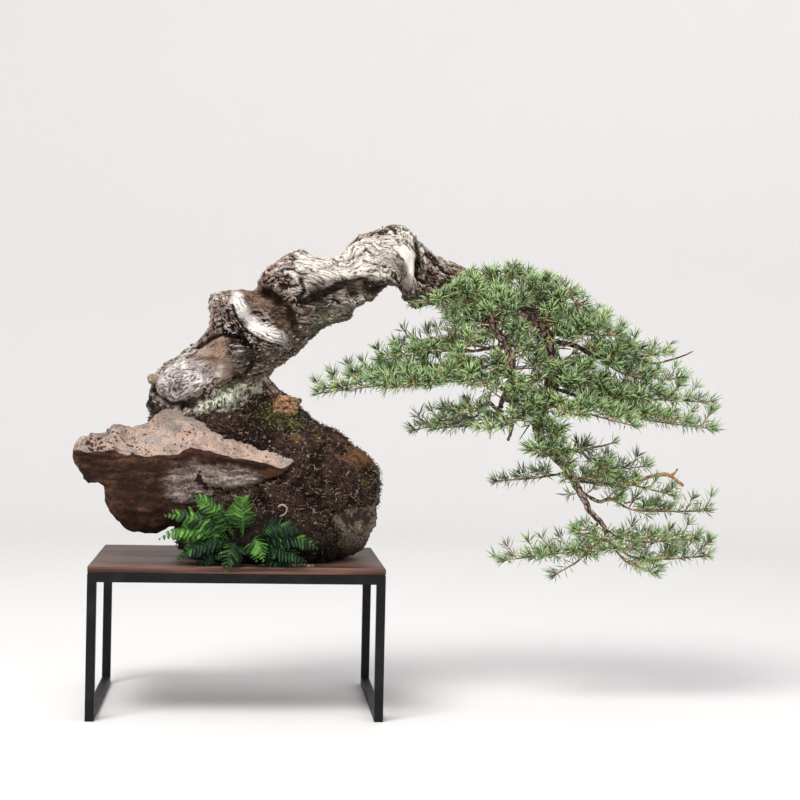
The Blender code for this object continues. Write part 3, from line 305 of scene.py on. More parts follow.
# Branches: the route to the tip, the radius at its start, and how long it is bare before its spray begins
BRANCHES = {
    "long_left": (
        ((401, -30, 509), (339, -35, 492), (279, -35, 485), (227, -31, 482), (104, -28, 464)), 4.2, 118,
    ),
    "long_left_front": (((300, -35, 487), (276, -52, 482), (252, -60, 480), (200, -88, 474)), 2.2, 20),
    "upper_left": (((398, -26, 522), (342, -10, 505), (284, 10, 501), (152, 20, 491)), 3.4, 55),
    "top_left": (((394, -28, 543), (339, -25, 533), (295, -20, 532), (194, -30, 515)), 3.2, 62),
    "top_left_back": (((345, -24, 533), (314, 15, 542), (296, 32, 544), (228, 66, 541)), 2.4, 26),
    "lower_left": (
        ((384, -26, 440), (354, -32, 444), (327, -34, 438), (311, -34, 428), (247, -32, 411)), 3, 40,
    ),
    "lower_left_back": (((390, -26, 452), (373, -12, 430), (345, 4, 421), (285, 30, 413)), 2.6, 34),
    "lower_left_front": (((440, -8, 447), (416, -34, 436), (400, -52, 427), (350, -88, 417)), 2.6, 34),
    "crown_left_front": (((345, -2, 627), (316, -36, 619), (304, -44, 614), (250, -66, 598)), 3, 24),
    "crown_left_back": (((345, 2, 629), (324, 38, 634), (314, 52, 634), (276, 94, 624)), 2.8, 24),
    "crown_west": (((356, 0, 622), (350, -20, 638), (344, -26, 642), (300, -50, 650)), 2.6, 24),
    "crown_top": (((388, 6, 612), (392, -12, 630), (394, -18, 638), (404, -46, 666)), 2.6, 24),
    "crown_top_back": (((404, 8, 608), (420, 28, 626), (428, 36, 632), (470, 70, 644)), 2.6, 24),
    "crown_top_right": (((434, 8, 592), (452, -16, 606), (459, -23, 611), (502, -50, 622)), 2.6, 24),
    "crown_right_back": (((458, 5, 562), (492, 24, 576), (506, 30, 580), (562, 58, 592)), 2.8, 24),
    "crown_right_front": (((458, 5, 560), (492, -24, 562), (508, -32, 562), (570, -58, 560)), 2.8, 24),
    "crown_front_left": (((388, 6, 608), (378, -44, 590), (372, -58, 582), (348, -108, 562)), 2.8, 24),
    "crown_front": (((436, 6, 590), (438, -38, 574), (438, -54, 568), (440, -112, 556)), 2.8, 24),
    "crown_back": (((420, 8, 600), (430, 50, 594), (436, 66, 592), (458, 124, 584)), 2.8, 24),
    "crown_back_left": (((372, 6, 612), (364, 46, 604), (356, 60, 602), (326, 114, 592)), 2.8, 24),
    "right_top": (
        ((460, 3, 552), (504, -5, 545), (538, -8, 528), (590, -8, 528), (606, -6, 531),
         (662, 4, 541)), 5, 160,
    ),
    "right_upper": (((536, -8, 529), (568, -17, 508), (601, -20, 499), (674, -22, 498)), 2.8, 34),
    "right_long": (((469, 0, 506), (525, -18, 484), (577, -25, 469), (706, -32, 463)), 4.2, 60),
    "right_low": (((465, -5, 482), (529, -35, 459), (597, -41, 437), (714, -46, 423)), 4.2, 62),
    "right_back_upper": (((504, -4, 545), (548, 38, 530), (566, 46, 528), (646, 92, 516)), 2.8, 34),
    "right_back_lower": (((467, 0, 494), (528, 48, 476), (552, 60, 470), (640, 108, 450)), 3.4, 46),
    "front_star": (((458, -5, 462), (476, -44, 450), (482, -60, 446), (496, -108, 440)), 2.8, 36),
    "front_right_star": (((463, -5, 470), (512, -56, 446), (526, -66, 440), (582, -98, 426)), 2.8, 42),
    "middle_left": (((497, -8, 352), (464, -12, 347), (436, -15, 343), (374, -18, 338)), 3, 40),
    "middle_front": (((474, -8, 378), (458, -40, 384), (450, -50, 386), (420, -84, 390)), 2.2, 24),
    "middle_right": (
        ((468, -8, 384), (511, -12, 385), (530, -15, 371), (558, -21, 359), (622, -34, 367)), 4.6, 66,
    ),
    "middle_low": (
        ((503, -8, 342), (545, -24, 336), (588, -34, 337), (602, -40, 334), (654, -62, 322)), 4.2, 96,
    ),
    "hooked_right": (
        ((512, -8, 326), (542, -14, 309), (558, -16, 314), (575, -18, 307), (605, -20, 297),
         (718, -26, 298)), 3.2, 104,
    ),
    "middle_back": (((503, -8, 346), (538, 34, 339), (554, 48, 336), (606, 92, 324)), 2.8, 34),
    "bare_twig": (((506, -12, 384), (532, -10, 391), (548, -10, 394), (574, -8, 402)), 1.8, 34),
    "bottom_left": (((555, -8, 252), (530, -18, 239), (496, -22, 233), (383, -26, 218)), 2.4, 34),
    "bottom_left_low": (((534, -17, 241), (512, -34, 224), (504, -40, 219), (462, -64, 199)), 1.9, 20),
    "bottom_right_high": (((553, -8, 268), (577, -15, 255), (607, -20, 249), (701, -28, 257)), 2.2, 26),
    "bottom_right": (((558, -8, 250), (581, -12, 234), (616, -14, 222), (724, -18, 229)), 2.4, 26),
    "bottom_right_front": (((562, -9, 246), (580, -28, 223), (588, -34, 218), (630, -58, 203)), 1.9, 22),
    "bottom_back": (((556, -8, 254), (562, 30, 236), (562, 42, 232), (560, 98, 214)), 2.2, 26),
    "bottom_star": (((545, -8, 278), (532, -24, 264), (528, -30, 262), (500, -56, 264)), 1.9, 18),
}
BRANCH_END = 1.5
TIP_SHARE = 0.55

# Ferns: the stem's foot, the frond's tip, how far it bows upwards and the way its face turns
FRONDS = (
    ((-16, -102, 244), (-112, -132, 256), 24, (0.2, -0.6, 0.8)),
    ((-12, -103, 250), (-104, -138, 290), 18, (0.4, -0.8, 0.5)),
    ((-6, -104, 256), (-62, -130, 317), 14, (0.7, -0.7, 0.2)),
    ((6, -108, 258), (4, -136, 319), 10, (0.1, -0.95, 0.3)),
    ((-8, -105, 237), (-84, -148, 230), 18, (0.0, -0.6, 0.8)),
    ((2, -108, 238), (-18, -160, 214), 22, (0.0, -0.8, 0.6)),
    ((16, -112, 242), (36, -154, 229), 20, (0.0, -0.75, 0.65)),
    ((26, -113, 250), (86, -140, 270), 18, (-0.2, -0.75, 0.6)),
    ((34, -114, 243), (112, -142, 247), 18, (-0.1, -0.7, 0.7)),
    ((28, -115, 235), (96, -152, 229), 10, (0.0, -0.5, 0.86)),
)
BOW_WAY = (0.0, -0.5, 0.87)
FROND_BARE_SHARE = 0.22
STEM_DEPTH = 5.0


# Shapes as arrays


def unit(vectors):
    """Each vector divided by its length."""
    return vectors / (np.linalg.norm(vectors, axis=-1, keepdims=True) + 1e-9)


def smooth(value, low, high):
    """The smooth step: 0 up to low, 1 from high on, and 3t^2 - 2t^3 between them."""
    share = np.clip((value - low) / (high - low), 0, 1)
    return share * share * (3 - 2 * share)


def rounded(wave, power):
    """A sine or cosine bulged outwards, which squares up the ellipse that it draws."""
    return np.sign(wave) * np.abs(wave) ** power


def hashed(corners, seed):
    """A number from 0 to 1 for each grid corner: the fraction of a large multiple of a sine."""
    number = np.sin(corners @ np.array([12.9898, 78.233, 37.719]) + seed) * 43758.5453
    return number - np.floor(number)


def lumps(points, cell, seed):
    """Smooth noise from -1 to 1: a random number at each corner of a grid, blended between them."""
    place = points / np.asarray(cell, float)
    corner = np.floor(place)
    share = place - corner
    share = share * share * (3 - 2 * share)
    total = np.zeros(points.shape[:-1])
    for step in np.ndindex(2, 2, 2):
        step = np.array(step)
        weight = np.prod(np.where(step, share, 1 - share), axis=-1)
        total += weight * (2 * hashed(corner + step, seed) - 1)
    return total


def layered(points, cell, seed, layers=3, fade=0.5):
    """Noises added up, each with half the cell of the one before and that share of its height."""
    cell = np.asarray(cell, float)
    return sum(fade**layer * lumps(points, cell / 2**layer, seed + layer) for layer in range(layers))


def drifts(points, cell, seed):
    """Three smooth noises, one for each axis."""
    return np.stack([lumps(points, cell, seed + axis) for axis in range(3)], axis=-1)


def ridged(points, cell, seed):
    """Sharp ridges from 0 to 1: one less the size of smooth noise."""
    return 1 - np.abs(lumps(points, cell, seed))


def nearest_two(points, cell, seed):
    """Distances, in cells, to the nearest and the next of points strewn one in each cell of a grid."""
    place = points / np.asarray(cell, float)
    corner = np.floor(place)
    first = np.full(points.shape[:-1], 9.0)
    second = first.copy()
    for step in np.ndindex(3, 3, 3):
        near = corner + np.array(step) - 1
        strewn = np.stack([hashed(near, seed + shift) for shift in (0, 17, 43)], axis=-1)
        apart = np.linalg.norm(near + strewn - place, axis=-1)
        second = np.minimum(second, np.maximum(first, apart))
        first = np.minimum(first, apart)
    return first, second


def between(stations, count):
    """Stations resampled to a smooth run of that many, evenly spaced along their path (Catmull-Rom)."""
    given = np.array(stations, float)
    span = np.linalg.norm(np.diff(given, axis=0), axis=1)
    place = np.concatenate([[0.0], np.cumsum(span)])
    wanted = np.linspace(0, place[-1], count)
    piece = np.clip(np.searchsorted(place, wanted, side="right") - 1, 0, len(given) - 2)
    share = ((wanted - place[piece]) / span[piece])[:, None]
    padded = np.concatenate([[2 * given[0] - given[1]], given, [2 * given[-1] - given[-2]]])
    a, b, c, d = (padded[piece + k] for k in range(4))
    return 0.5 * (
        2 * b + (c - a) * share + (2 * a - 5 * b + 4 * c - d) * share**2
        + (3 * b - a - 3 * c + d) * share**3
    )


def lengths_along(points):
    """How far along a polyline each of its points is."""
    return np.concatenate([[0.0], np.cumsum(np.linalg.norm(np.diff(points, axis=0), axis=1))])


def read_off(rows, places, wanted):
    """Rows given at rising places, read off at the wanted places."""
    return np.stack([np.interp(wanted, places, column) for column in np.transpose(rows)], axis=-1)


def at_length(points, length):
    """The points at those lengths along a polyline."""
    return read_off(points, lengths_along(points), length)


def stretch(points, first, last, step):
    """The part of a polyline between two lengths along it, in even steps of about the size given."""
    return at_length(points, np.linspace(first, last, max(3, round((last - first) / step) + 1)))


def blob(points, middle, spread):
    """One at the middle, falling as exp(-(distance / spread)^2). The spread may differ along X, Y and Z."""
    apart = np.linalg.norm((points - np.array(middle, float)) / np.asarray(spread, float), axis=-1)
    return np.exp(-(apart**2))


def blobs(points, places):
    """The sum of blobs, each given by its height, its middle and its spread."""
    return sum(height * blob(points, middle, spread) for height, middle, spread in places)


def near_path(points, path):
    """The least distance from each point to a polyline."""
    least = np.full(points.shape[:-1], np.inf)
    for start, end in zip(np.array(path[:-1], float), np.array(path[1:], float)):
        way = end - start
        share = np.clip((points - start) @ way / (way @ way), 0, 1)
        least = np.minimum(least, np.linalg.norm(points - start - share[..., None] * way, axis=-1))
    return least


def swollen(rings, sizes, seed):
    """Moves ring points away from or towards their ring's middle by noise of each (cell, height)."""
    outward = unit(rings - rings.mean(axis=1, keepdims=True))
    height = sum(amount * lumps(rings, cell, seed) for cell, amount in sizes)
    return rings + outward * height[..., None]


def facing(rings):
    """The outward way of each point of closed rings: the cross of its two neighbour differences."""
    along = np.gradient(rings, axis=0)
    across = np.roll(rings, -1, axis=1) - np.roll(rings, 1, axis=1)
    normal = unit(np.cross(across, along))
    outward = rings - rings.mean(axis=1, keepdims=True)
    return normal * np.sign((normal * outward).sum())


def frame_along(path):
    """At each point of a path its way forward, and two ways across it that don't twist.

    The ways across come from the axis that the path leans along least.
    """
    ahead = unit(np.gradient(path, axis=0))
    reference = np.eye(3)[np.argmin(np.abs(ahead).max(axis=0))]
    aside = unit(np.cross(ahead, reference))
    return ahead, aside, np.cross(aside, ahead)


def tube_rings(path, radii, sides):
    """Circles of those radii across a path, one at each of its points."""
    _, aside, over = frame_along(path)
    turn = np.linspace(0, 2 * math.pi, sides, endpoint=False)[:, None]
    circle = aside[:, None] * np.cos(turn) + over[:, None] * np.sin(turn)
    return path[:, None] + circle * np.reshape(radii, (-1, 1, 1))


def skin(rings):
    """The points and faces of a closed skin over rings, with a point in the middle of each end."""
    count, around, _ = rings.shape
    points = np.concatenate([rings.reshape(-1, 3), rings[[0, -1]].mean(axis=1)])
    ring, side = np.meshgrid(np.arange(count - 1), np.arange(around), indexing="ij")
    here = ring * around + side
    beside = ring * around + (side + 1) % around
    quads = np.stack([here, beside, beside + around, here + around], axis=-1).reshape(-1, 4)
    first = np.arange(around)
    after = (first + 1) % around
    last = (count - 1) * around
    start = np.stack([after, first, np.full(around, count * around)], axis=-1)
    end = np.stack([last + first, last + after, np.full(around, count * around + 1)], axis=-1)
    return points, [quads, np.concatenate([start, end])]


def with_ends(values):
    """A value for each point of the rings, and for the two end points the mean of their ring's."""
    return np.concatenate([values.ravel(), [values[0].mean(), values[-1].mean()]])


def volume(points, faces):
    """The volume that closed faces hold: a sixth of the sum of each triangle's triple product."""
    total = 0.0
    for group in faces:
        for corner in range(1, group.shape[1] - 1):
            a, b, c = points[group[:, 0]], points[group[:, corner]], points[group[:, corner + 1]]
            total += np.einsum("ij,ij->", a, np.cross(b, c))
    return total / 6


class Heap:
    """Closed skins gathered as arrays, which become one object."""

    def __init__(self):
        self.count = 0
        self.points, self.groups, self.finishes, self.marks = [], [], [], []

    def add(self, points, faces, finish=0, **marks):
        """Adds a closed skin, turned outwards, with the index of its finish and a value of each mark."""
        if volume(points, faces) < 0:
            faces = [group[:, ::-1] for group in faces]
        for group in faces:
            self.groups.append(group + self.count)
            self.finishes.append(np.full(len(group), finish))
        self.points.append(points)
        self.marks.append({name: np.broadcast_to(value, len(points)) for name, value in marks.items()})
        self.count += len(points)

    def build(self, name, finishes, inside=True):
        """The object: points in metres, moved to the fixed model's place, and each mark an attribute.

        Points nearer than the margin to a side of the fixed model's box are eased inwards, by a tanh.
        """
        mesh = bpy.data.meshes.new(name)
        points = (np.concatenate(self.points) + SHIFT) * MM
        if inside:
            low, high = np.array(MODEL_BOX)
            past = np.maximum(points - (high - BOX_MARGIN), 0)
            points = points - past + BOX_MARGIN * np.tanh(past / BOX_MARGIN)
            past = np.maximum((low + BOX_MARGIN) - points, 0)
            points = points + past - BOX_MARGIN * np.tanh(past / BOX_MARGIN)
        mesh.vertices.add(self.count)
        mesh.vertices.foreach_set("co", points.astype(np.float32).ravel())
        corners = np.concatenate([group.ravel() for group in self.groups])
        sizes = np.concatenate([np.full(len(group), group.shape[1]) for group in self.groups])
        mesh.loops.add(len(corners))
        mesh.polygons.add(len(sizes))
        starts = np.concatenate([[0], np.cumsum(sizes)[:-1]])
        mesh.polygons.foreach_set("loop_start", starts.astype(np.int32))
        mesh.polygons.foreach_set("vertices", corners.astype(np.int32))
        mesh.polygons.foreach_set("material_index", np.concatenate(self.finishes).astype(np.int32))
        mesh.update(calc_edges=True)
        for mark in sorted({key for marks in self.marks for key in marks}):
            values = [marks.get(mark, np.zeros(len(part))) for marks, part in zip(self.marks, self.points)]
            attribute = mesh.attributes.new(mark, "FLOAT", "POINT")
            attribute.data.foreach_set("value", np.concatenate(values).astype(np.float32))
        for finish in finishes:
            mesh.materials.append(finish)
        mesh.shade_smooth()
        made = bpy.data.objects.new(name, mesh)
        bpy.context.scene.collection.objects.link(made)
        return made


def finished(piece, slot, *nodes):
    """The piece moves with the one body and stands for those nodes; the slot is not used."""
    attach(piece, "root")
    if nodes:
        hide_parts(*nodes)
    return piece


# Finishes


def times(share, colour):
    """A colour with each part multiplied."""
    return tuple(share * part for part in colour)


class Value:
    """A socket that gives a number. Python's operators on it add Math nodes."""

    def __init__(self, finish, socket):
        self.finish, self.socket = finish, socket

    def __add__(self, other):
        return self.finish.math("ADD", self, other)

    __radd__ = __add__

    def __sub__(self, other):
        return self.finish.math("SUBTRACT", self, other)

    def __rsub__(self, other):
        return self.finish.math("SUBTRACT", other, self)

    def __mul__(self, other):
        return self.finish.math("MULTIPLY", self, other)

    __rmul__ = __mul__


class Finish:
    """A material in the making: one Principled shader, and the nodes that its expressions add."""

    def __init__(self, name, roughness, specular):
        self.material = bpy.data.materials.new(name)
        self.material.use_nodes = True
        self.tree = self.material.node_tree
        self.shader = self.tree.nodes["Principled BSDF"]
        self.shader.inputs["Roughness"].default_value = roughness
        self.shader.inputs["Specular IOR Level"].default_value = specular
        self.place = self.node("ShaderNodeTexCoord", output="Object")

    def node(self, kind, sockets=(), output=0, **settings):
        """Adds a node: its settings first, then a value or a link for each socket named or numbered."""
        made = self.tree.nodes.new(kind)
        for key, value in settings.items():
            setattr(made, key, value)
        for key, value in dict(sockets).items():
            self.give(made.inputs[key], value)
        return Value(self, made.outputs[output])

    def give(self, socket, value):
        """Links a value to a socket, or sets the socket to a number or a colour."""
        if isinstance(value, Value):
            self.tree.links.new(value.socket, socket)
        elif socket.type == "RGBA":
            socket.default_value = (*value, 1)
        else:
            socket.default_value = value

    def math(self, operation, first, second):
        """A Math node on two values or numbers."""
        return self.node("ShaderNodeMath", {0: first, 1: second}, operation=operation)

    def mix(self, factor, first, second):
        """A colour between two."""
        return self.node("ShaderNodeMix", {0: factor, 6: first, 7: second}, output=2, data_type="RGBA")

    def ramp(self, value, low, high, first, second):
        """A colour that goes from the first to the second by the smooth step of a value."""
        return self.mix(self.step(value, low, high), first, second)

    def laid(self, colour, *layers):
        """A colour under layers: each a value, the edges of its smooth step, its share and its own colour.

        Where the first edge is the higher one, the layer lies where the value is low.
        """
        for value, low, high, share, layer in layers:
            colour = self.mix(self.step(value, low, high) * share, colour, layer)
        return colour

    def marks(self, *names):
        """The values of marks on the mesh."""
        return [self.node("ShaderNodeAttribute", output="Fac", attribute_name=name) for name in names]

    def axis(self, name):
        """The place on the object along one axis, in metres."""
        return self.node("ShaderNodeSeparateXYZ", {0: self.place}, output=name)

    def scaled(self, x, y, z):
        """The place on the object, stretched along its axes."""
        return self.node("ShaderNodeVectorMath", {0: self.place, 1: (x, y, z)}, operation="MULTIPLY")

    def joined(self, x, y, z):
        """A place from three values."""
        return self.node("ShaderNodeCombineXYZ", {0: x, 1: y, 2: z})

    def noise(self, cell, detail=3.0, rough=0.55, place=None, warp=0.0):
        """Noise from 0 to 1, with cells of that many millimetres."""
        sockets = {
            "Vector": place or self.place, "Scale": 1 / (cell * MM), "Detail": detail,
            "Roughness": rough, "Distortion": warp,
        }
        return self.node("ShaderNodeTexNoise", sockets)

    def cells(self, cell):
        """The distance to the nearest of strewn points, one in each cell of that many millimetres."""
        sockets = {"Vector": self.place, "Scale": 1 / (cell * MM)}
        return self.node("ShaderNodeTexVoronoi", sockets, output="Distance")

    def step(self, value, low, high):
        """The smooth step of a value between two edges."""
        sockets = {0: value, 1: low, 2: high, 3: 0.0, 4: 1.0}
        return self.node("ShaderNodeMapRange", sockets, interpolation_type="SMOOTHSTEP")

    def done(self, colour, roughness=None, relief=None, depth=1.0):
        """Joins the colour, the roughness and a relief of that many millimetres to the shader."""
        self.give(self.shader.inputs["Base Color"], colour)
        if roughness is not None:
            self.give(self.shader.inputs["Roughness"], roughness)
        if relief is not None:
            bump = self.node("ShaderNodeBump", {"Strength": 1.0, "Distance": depth * MM, "Height": relief})
            self.give(self.shader.inputs["Normal"], bump)
        return self.material


# Settings


def tint_setting(name, description, *default):
    """A colour among the settings."""
    return FloatVectorProperty(
        name=name, description=description, default=default, subtype="COLOR", min=0, max=1
    )


def length_setting(name, description, default):
    """A length among the settings, in metres."""
    return FloatProperty(name=name, description=description, default=default, unit="LENGTH", min=0)


def power_setting(name, description, default):
    """A lamp's power among the settings, in watts."""
    return FloatProperty(name=name, description=description, default=default, unit="POWER", min=0)


def count_setting(name, description, default):
    """A count of like shapes among the settings."""
    return IntProperty(name=name, description=description, default=default, min=0)


class StageSettings(bpy.types.PropertyGroup):
    backdrop: tint_setting("Backdrop", "Colour of the floor and the backdrop", 0.79, 0.78, 0.775)
    radius: length_setting("Backdrop radius", "How far the wall stands from the middle of the floor", 3.6)
    bend: length_setting("Backdrop bend", "Radius of the curve from the floor up to the wall", 0.9)
    height: length_setting("Backdrop height", "Height of the wall", 5.0)
    key: power_setting("Key light", "Power of the soft light from above", 66.0)
    wash: power_setting("Wash", "Power of the light on the backdrop", 12.0)
    fill: power_setting("Fill light", "Power of the light from the right", 14.0)
    sky: FloatProperty(name="Sky", description="Strength of the even pale light", default=0.9, min=0)


class StandSettings(bpy.types.PropertyGroup):
    steel: tint_setting("Steel", "Colour of the coated bar", 0.0045, 0.0047, 0.0062)
    walnut: tint_setting("Walnut", "Middle colour of the board", 0.128, 0.066, 0.049)
    bar_edge: length_setting("Bar edge", "Radius of the bar's long edges", 0.0008)


class StoneSettings(bpy.types.PropertyGroup):
    # The upper face's colour is partly its own and partly painted light from above; the lower face's dark
    # colour is partly its own and partly painted shade under the lip
    upper: tint_setting("Upper face", "Colour of the slab stone's lit upper face", 0.45, 0.33, 0.265)
    lower: tint_setting("Lower face", "Colour of the slab stone's broken lower face", 0.062, 0.030, 0.021)
    layer_relief: length_setting("Layer relief", "How far the lower face's layers stand out", 0.0026)
    pit_depth: length_setting("Pit depth", "Depth of the small pits in the upper face", 0.0016)
    hole_depth: length_setting("Hole depth", "Depth of the large holes at the left end", 0.0065)


class SoilSettings(bpy.types.PropertyGroup):
    soil: tint_setting("Soil", "Colour of the soil", 0.066, 0.042, 0.032)
    moss: tint_setting("Moss", "Colour of the moss", 0.105, 0.108, 0.040)
    crumbs: count_setting("Crumbs", "Number of crumbs of soil", 7500)
    spilled: count_setting("Spilled crumbs", "Number of crumbs on the board", 130)
    fibres: count_setting("Fibres", "Number of dry rootlets", 8200)
    fibre_length: length_setting("Fibre length", "Length of a dry rootlet", 0.010)


class WoodSettings(bpy.types.PropertyGroup):
    bark: tint_setting("Bark", "Colour of the weathered bark", 0.34, 0.29, 0.255)
    bare: tint_setting("Bare wood", "Colour of the bleached dead wood", 0.87, 0.84, 0.81)
    # The crevice colour is partly the bark's own and partly painted shade
    crevice: tint_setting("Crevice", "Colour deep between the bark's plates", 0.016, 0.010, 0.008)
    plate_relief: length_setting("Plate relief", "How far the bark's plates stand out", 0.0032)
    plate: length_setting("Plate", "Size of the bark's plates", 0.0056)
    flakes: count_setting("Flakes", "Number of loose flakes of bark", 900)


class NeedleSettings(bpy.types.PropertyGroup):
    green: tint_setting("Green", "Colour of a needle's upper face", 0.165, 0.365, 0.105)
    young: tint_setting("Young green", "Colour of the lightest needles", 0.52, 0.69, 0.25)
    length: length_setting("Length", "Length of a needle", 0.0225)
    width: length_setting("Width", "Width of a needle", 0.0020)
    spacing: length_setting("Spacing", "Length of twig for each needle", 0.0024)
    twig_spacing: length_setting("Shoot spacing", "Length of twig for each side shoot", 0.009)


class FernSettings(bpy.types.PropertyGroup):
    # The light green is partly the young fronds' own colour and partly painted light; the deep green partly
    # the old fronds' own and partly painted shade
    light: tint_setting("Light green", "Colour of the young fronds", 0.092, 0.235, 0.036)
    deep: tint_setting("Deep green", "Colour of the old fronds", 0.005, 0.026, 0.008)
    leaflet: length_setting("Leaflet", "Length of the longest leaflets", 0.0175)
    pairs: count_setting("Pairs", "Pairs of leaflets on a frond", 12)


# Stand


def steel_finish(settings):
    """Coated bar: nearly black with a blue cast, finely speckled, and duller in soft clouds."""
    finish = Finish("blue_black_steel", roughness=0.42, specular=0.2)
    cloud = finish.noise(30, detail=4)
    speck = finish.noise(1.1, detail=2)
    steel = tuple(settings.steel)
    worn = tuple(2.1 * part + 0.006 for part in steel)
    colour = finish.laid(steel, (cloud, 0.45, 0.75, 0.7, worn))
    return finish.done(colour, 0.40 + cloud * 0.22 + speck * 0.06, speck, 0.12)


def walnut_finish(settings):
    """Walnut: long streaks along X in slow waves, dark pores, and a front edge of stronger streaks."""
    finish = Finish("walnut", roughness=0.5, specular=0.3)
    middle = settings.walnut
    wave = finish.noise(60, place=finish.scaled(0.16, 1, 1), warp=0.6)
    streak = finish.noise(7, detail=4, place=finish.scaled(0.05, 1, 1), warp=0.3)
    pores = finish.noise(1.6, detail=2, place=finish.scaled(0.045, 1, 1))
    front = (SHIFT[1] - STAND_DEPTH / 2) * MM
    edge = finish.ramp(streak, 0.35, 0.65, (0.034, 0.015, 0.010), (0.150, 0.070, 0.046))
    colour = finish.laid(
        finish.ramp(wave + streak * 0.5, 0.58, 0.95, times(0.42, middle), tuple(middle)),
        (streak, 0.50, 0.72, 0.7, times(1.7, middle)),
        (pores, 0.56, 0.68, 0.7, times(0.22, middle)),
        (finish.axis("Y"), front + 0.0016, front + 0.0004, 0.85, edge),
    )
    return finish.done(colour, 0.36 + streak * 0.2 + pores * 0.08, pores, 0.25)


class BONSAI_OT_stand(bpy.types.Operator):
    """Makes the stand: the welded bars with softened edges, and the walnut board's finish."""

    bl_idname = "bonsai.stand"
    bl_label = "Stand"

    def execute(self, context):
        settings = context.scene.bonsai_stand
        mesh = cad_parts["stand_frame"].data.copy()
        bars = bpy.data.objects.new("stand_bars", mesh)
        context.scene.collection.objects.link(bars)
        weld = bars.modifiers.new("welded corners", "WELD")
        weld.merge_threshold = 0.01 * MM
        flat = bars.modifiers.new("flat faces", "DECIMATE")
        flat.decimate_type = "DISSOLVE"
        flat.angle_limit = math.radians(1)
        soften = bars.modifiers.new("soft edges", "BEVEL")
        soften.width = settings.bar_edge
        soften.segments = 2
        mesh.materials.clear()
        mesh.materials.append(steel_finish(settings))
        finished(bars, "frame_steel", "stand_frame")
        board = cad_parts["stand_top"]
        board.material_slots[0].material = walnut_finish(settings)
        return {"FINISHED"}


# Stones


def section_rings(runs, around):
    """The slab's section at each station: its corners joined straight, resampled to that many points."""
    along, ridge, lip, bottom, front, back = runs.T
    heights = {"ridge": ridge, "lip": lip, "bottom": bottom}
    corners = []
    for share, low, high, lift in SLAB_SECTION:
        level = heights[low] + (heights[high] - heights[low]) * lift
        corners.append(np.stack([along, back + (front - back) * share, level], axis=-1))
    corners = np.stack(corners, axis=1)
    closed = np.concatenate([corners, corners[:, :1]], axis=1)
    wanted = np.linspace(0, len(SLAB_SECTION), around, endpoint=False)
    first = np.floor(wanted).astype(int)
    share = (wanted - first)[None, :, None]
    return closed[:, first] * (1 - share) + closed[:, first + 1] * share


def in_slab(points, room):
    """True where a point lies in the slab stone, or nearer to its upper or lower face than that room."""
    along, ridge, lip, bottom, front, back = np.array(SLAB_STATIONS, float).T
    x, y, z = np.moveaxis(points, -1, 0)
    rows = (ridge, lip, bottom, front, back)
    ridge, lip, bottom, front, back = (np.interp(x, along, row) for row in rows)
    share = (y - back) / (front - back)
    top = lip + (ridge - lip) * np.interp(share, (0, 0.45, 0.74, 0.97, 1), (0.9, 1, 0.62, 0.08, 0))
    under = bottom + (lip - bottom) * np.interp(share, (0, 0.58, 0.78, 0.91, 1), (0.1, 0, 0.3, 0.7, 0.92))
    inside = (x > along[0] - room) & (x < along[-1] + room) & (share > -0.1) & (share < 1.05)
    return inside & (z > under - room) & (z < top + room)


def slab_surface(settings):
    """The slab stone's skin and marks.

    The fixed model's rings, moved along their normals: rough by layered noise, pitted where the nearest of
    strewn points is close, and on the lower face stepped in level layers of noise that is long in X and
    thin in Z.
    """
    rings = swollen(section_rings(between(SLAB_STATIONS, SLAB_ALONG), SLAB_ROUND), SLAB_LUMPS, SLAB_SEED)
    normal = facing(rings)
    around = np.linspace(0, len(SLAB_SECTION), SLAB_ROUND, endpoint=False)[None, :]
    upper = smooth(around + 0.35 * lumps(rings, 16, 5), 0.3, 0.9)
    upper = upper * (1 - smooth(around + 0.25 * lumps(rings, 9, 6), SLAB_LIP - 0.15, SLAB_LIP + 0.15))
    lower = 1 - upper
    warped = rings + 3 * drifts(rings, 14, 31)
    coarse = 3.8 * layered(warped, 20, 7, layers=4) + 1.3 * layered(rings, 5.5, 8, layers=3)
    rough_end = blob(rings, *SLAB_ROUGH_END)
    first, _ = nearest_two(rings, 5.2, 9)
    chosen = smooth(lumps(rings, 9, 12) + rough_end, -0.1, 0.3)
    pits = (1 - smooth(first, 0.14, 0.42 + 0.14 * rough_end)) * chosen
    fine, _ = nearest_two(rings, 2.6, 10)
    pits = np.maximum(pits, 0.55 * (1 - smooth(fine, 0.15, 0.45)) * smooth(lumps(rings, 14, 13), -0.2, 0.4))
    steps = np.abs(lumps(warped, (46, 30, 5.5), 14)) + 0.6 * np.abs(lumps(warped, (22, 18, 2.6), 15))
    patch = np.maximum(*(blob(rings, middle, spread) for middle, spread in SLAB_PATCHES)) * lower
    height = coarse * (0.75 + 1.1 * rough_end) - settings.pit_depth / MM * pits * upper
    height += settings.layer_relief / MM * (steps - 0.45) * lower * (1 + 0.7 * patch)
    ragged = np.exp(-(((around - SLAB_LIP) / 0.42) ** 2))
    height += ragged * (1.8 * lumps(rings, (7, 9, 9), 16) + 0.9 * lumps(rings, 3, 17))
    hole = np.zeros(rings.shape[:-1])
    for x, y, z, radius in SLAB_HOLES:
        apart = np.linalg.norm(warped - (x, y, z), axis=-1)
        hole = np.maximum(hole, 1 - smooth(apart, 0.35 * radius, 1.5 * radius))
    height -= settings.hole_depth / MM * hole
    pits = np.maximum(pits, hole)
    shape = rings + normal * height[..., None]
    grey = blobs(rings, SLAB_GREY) + 0.4 * lumps(rings, 13, 18) + 0.3 * lumps(rings, 5, 19) - 0.1
    marks = {"upper": upper, "pit": pits, "patch": patch, "layer": smooth(steps, 0.2, 0.9)}
    # The last mark is the low places of the coarse relief, which the finish darkens as painted shade
    return shape, marks | {"grey": np.clip(grey, 0, 1), "dip": smooth(-coarse, 0.5, 3.5)}


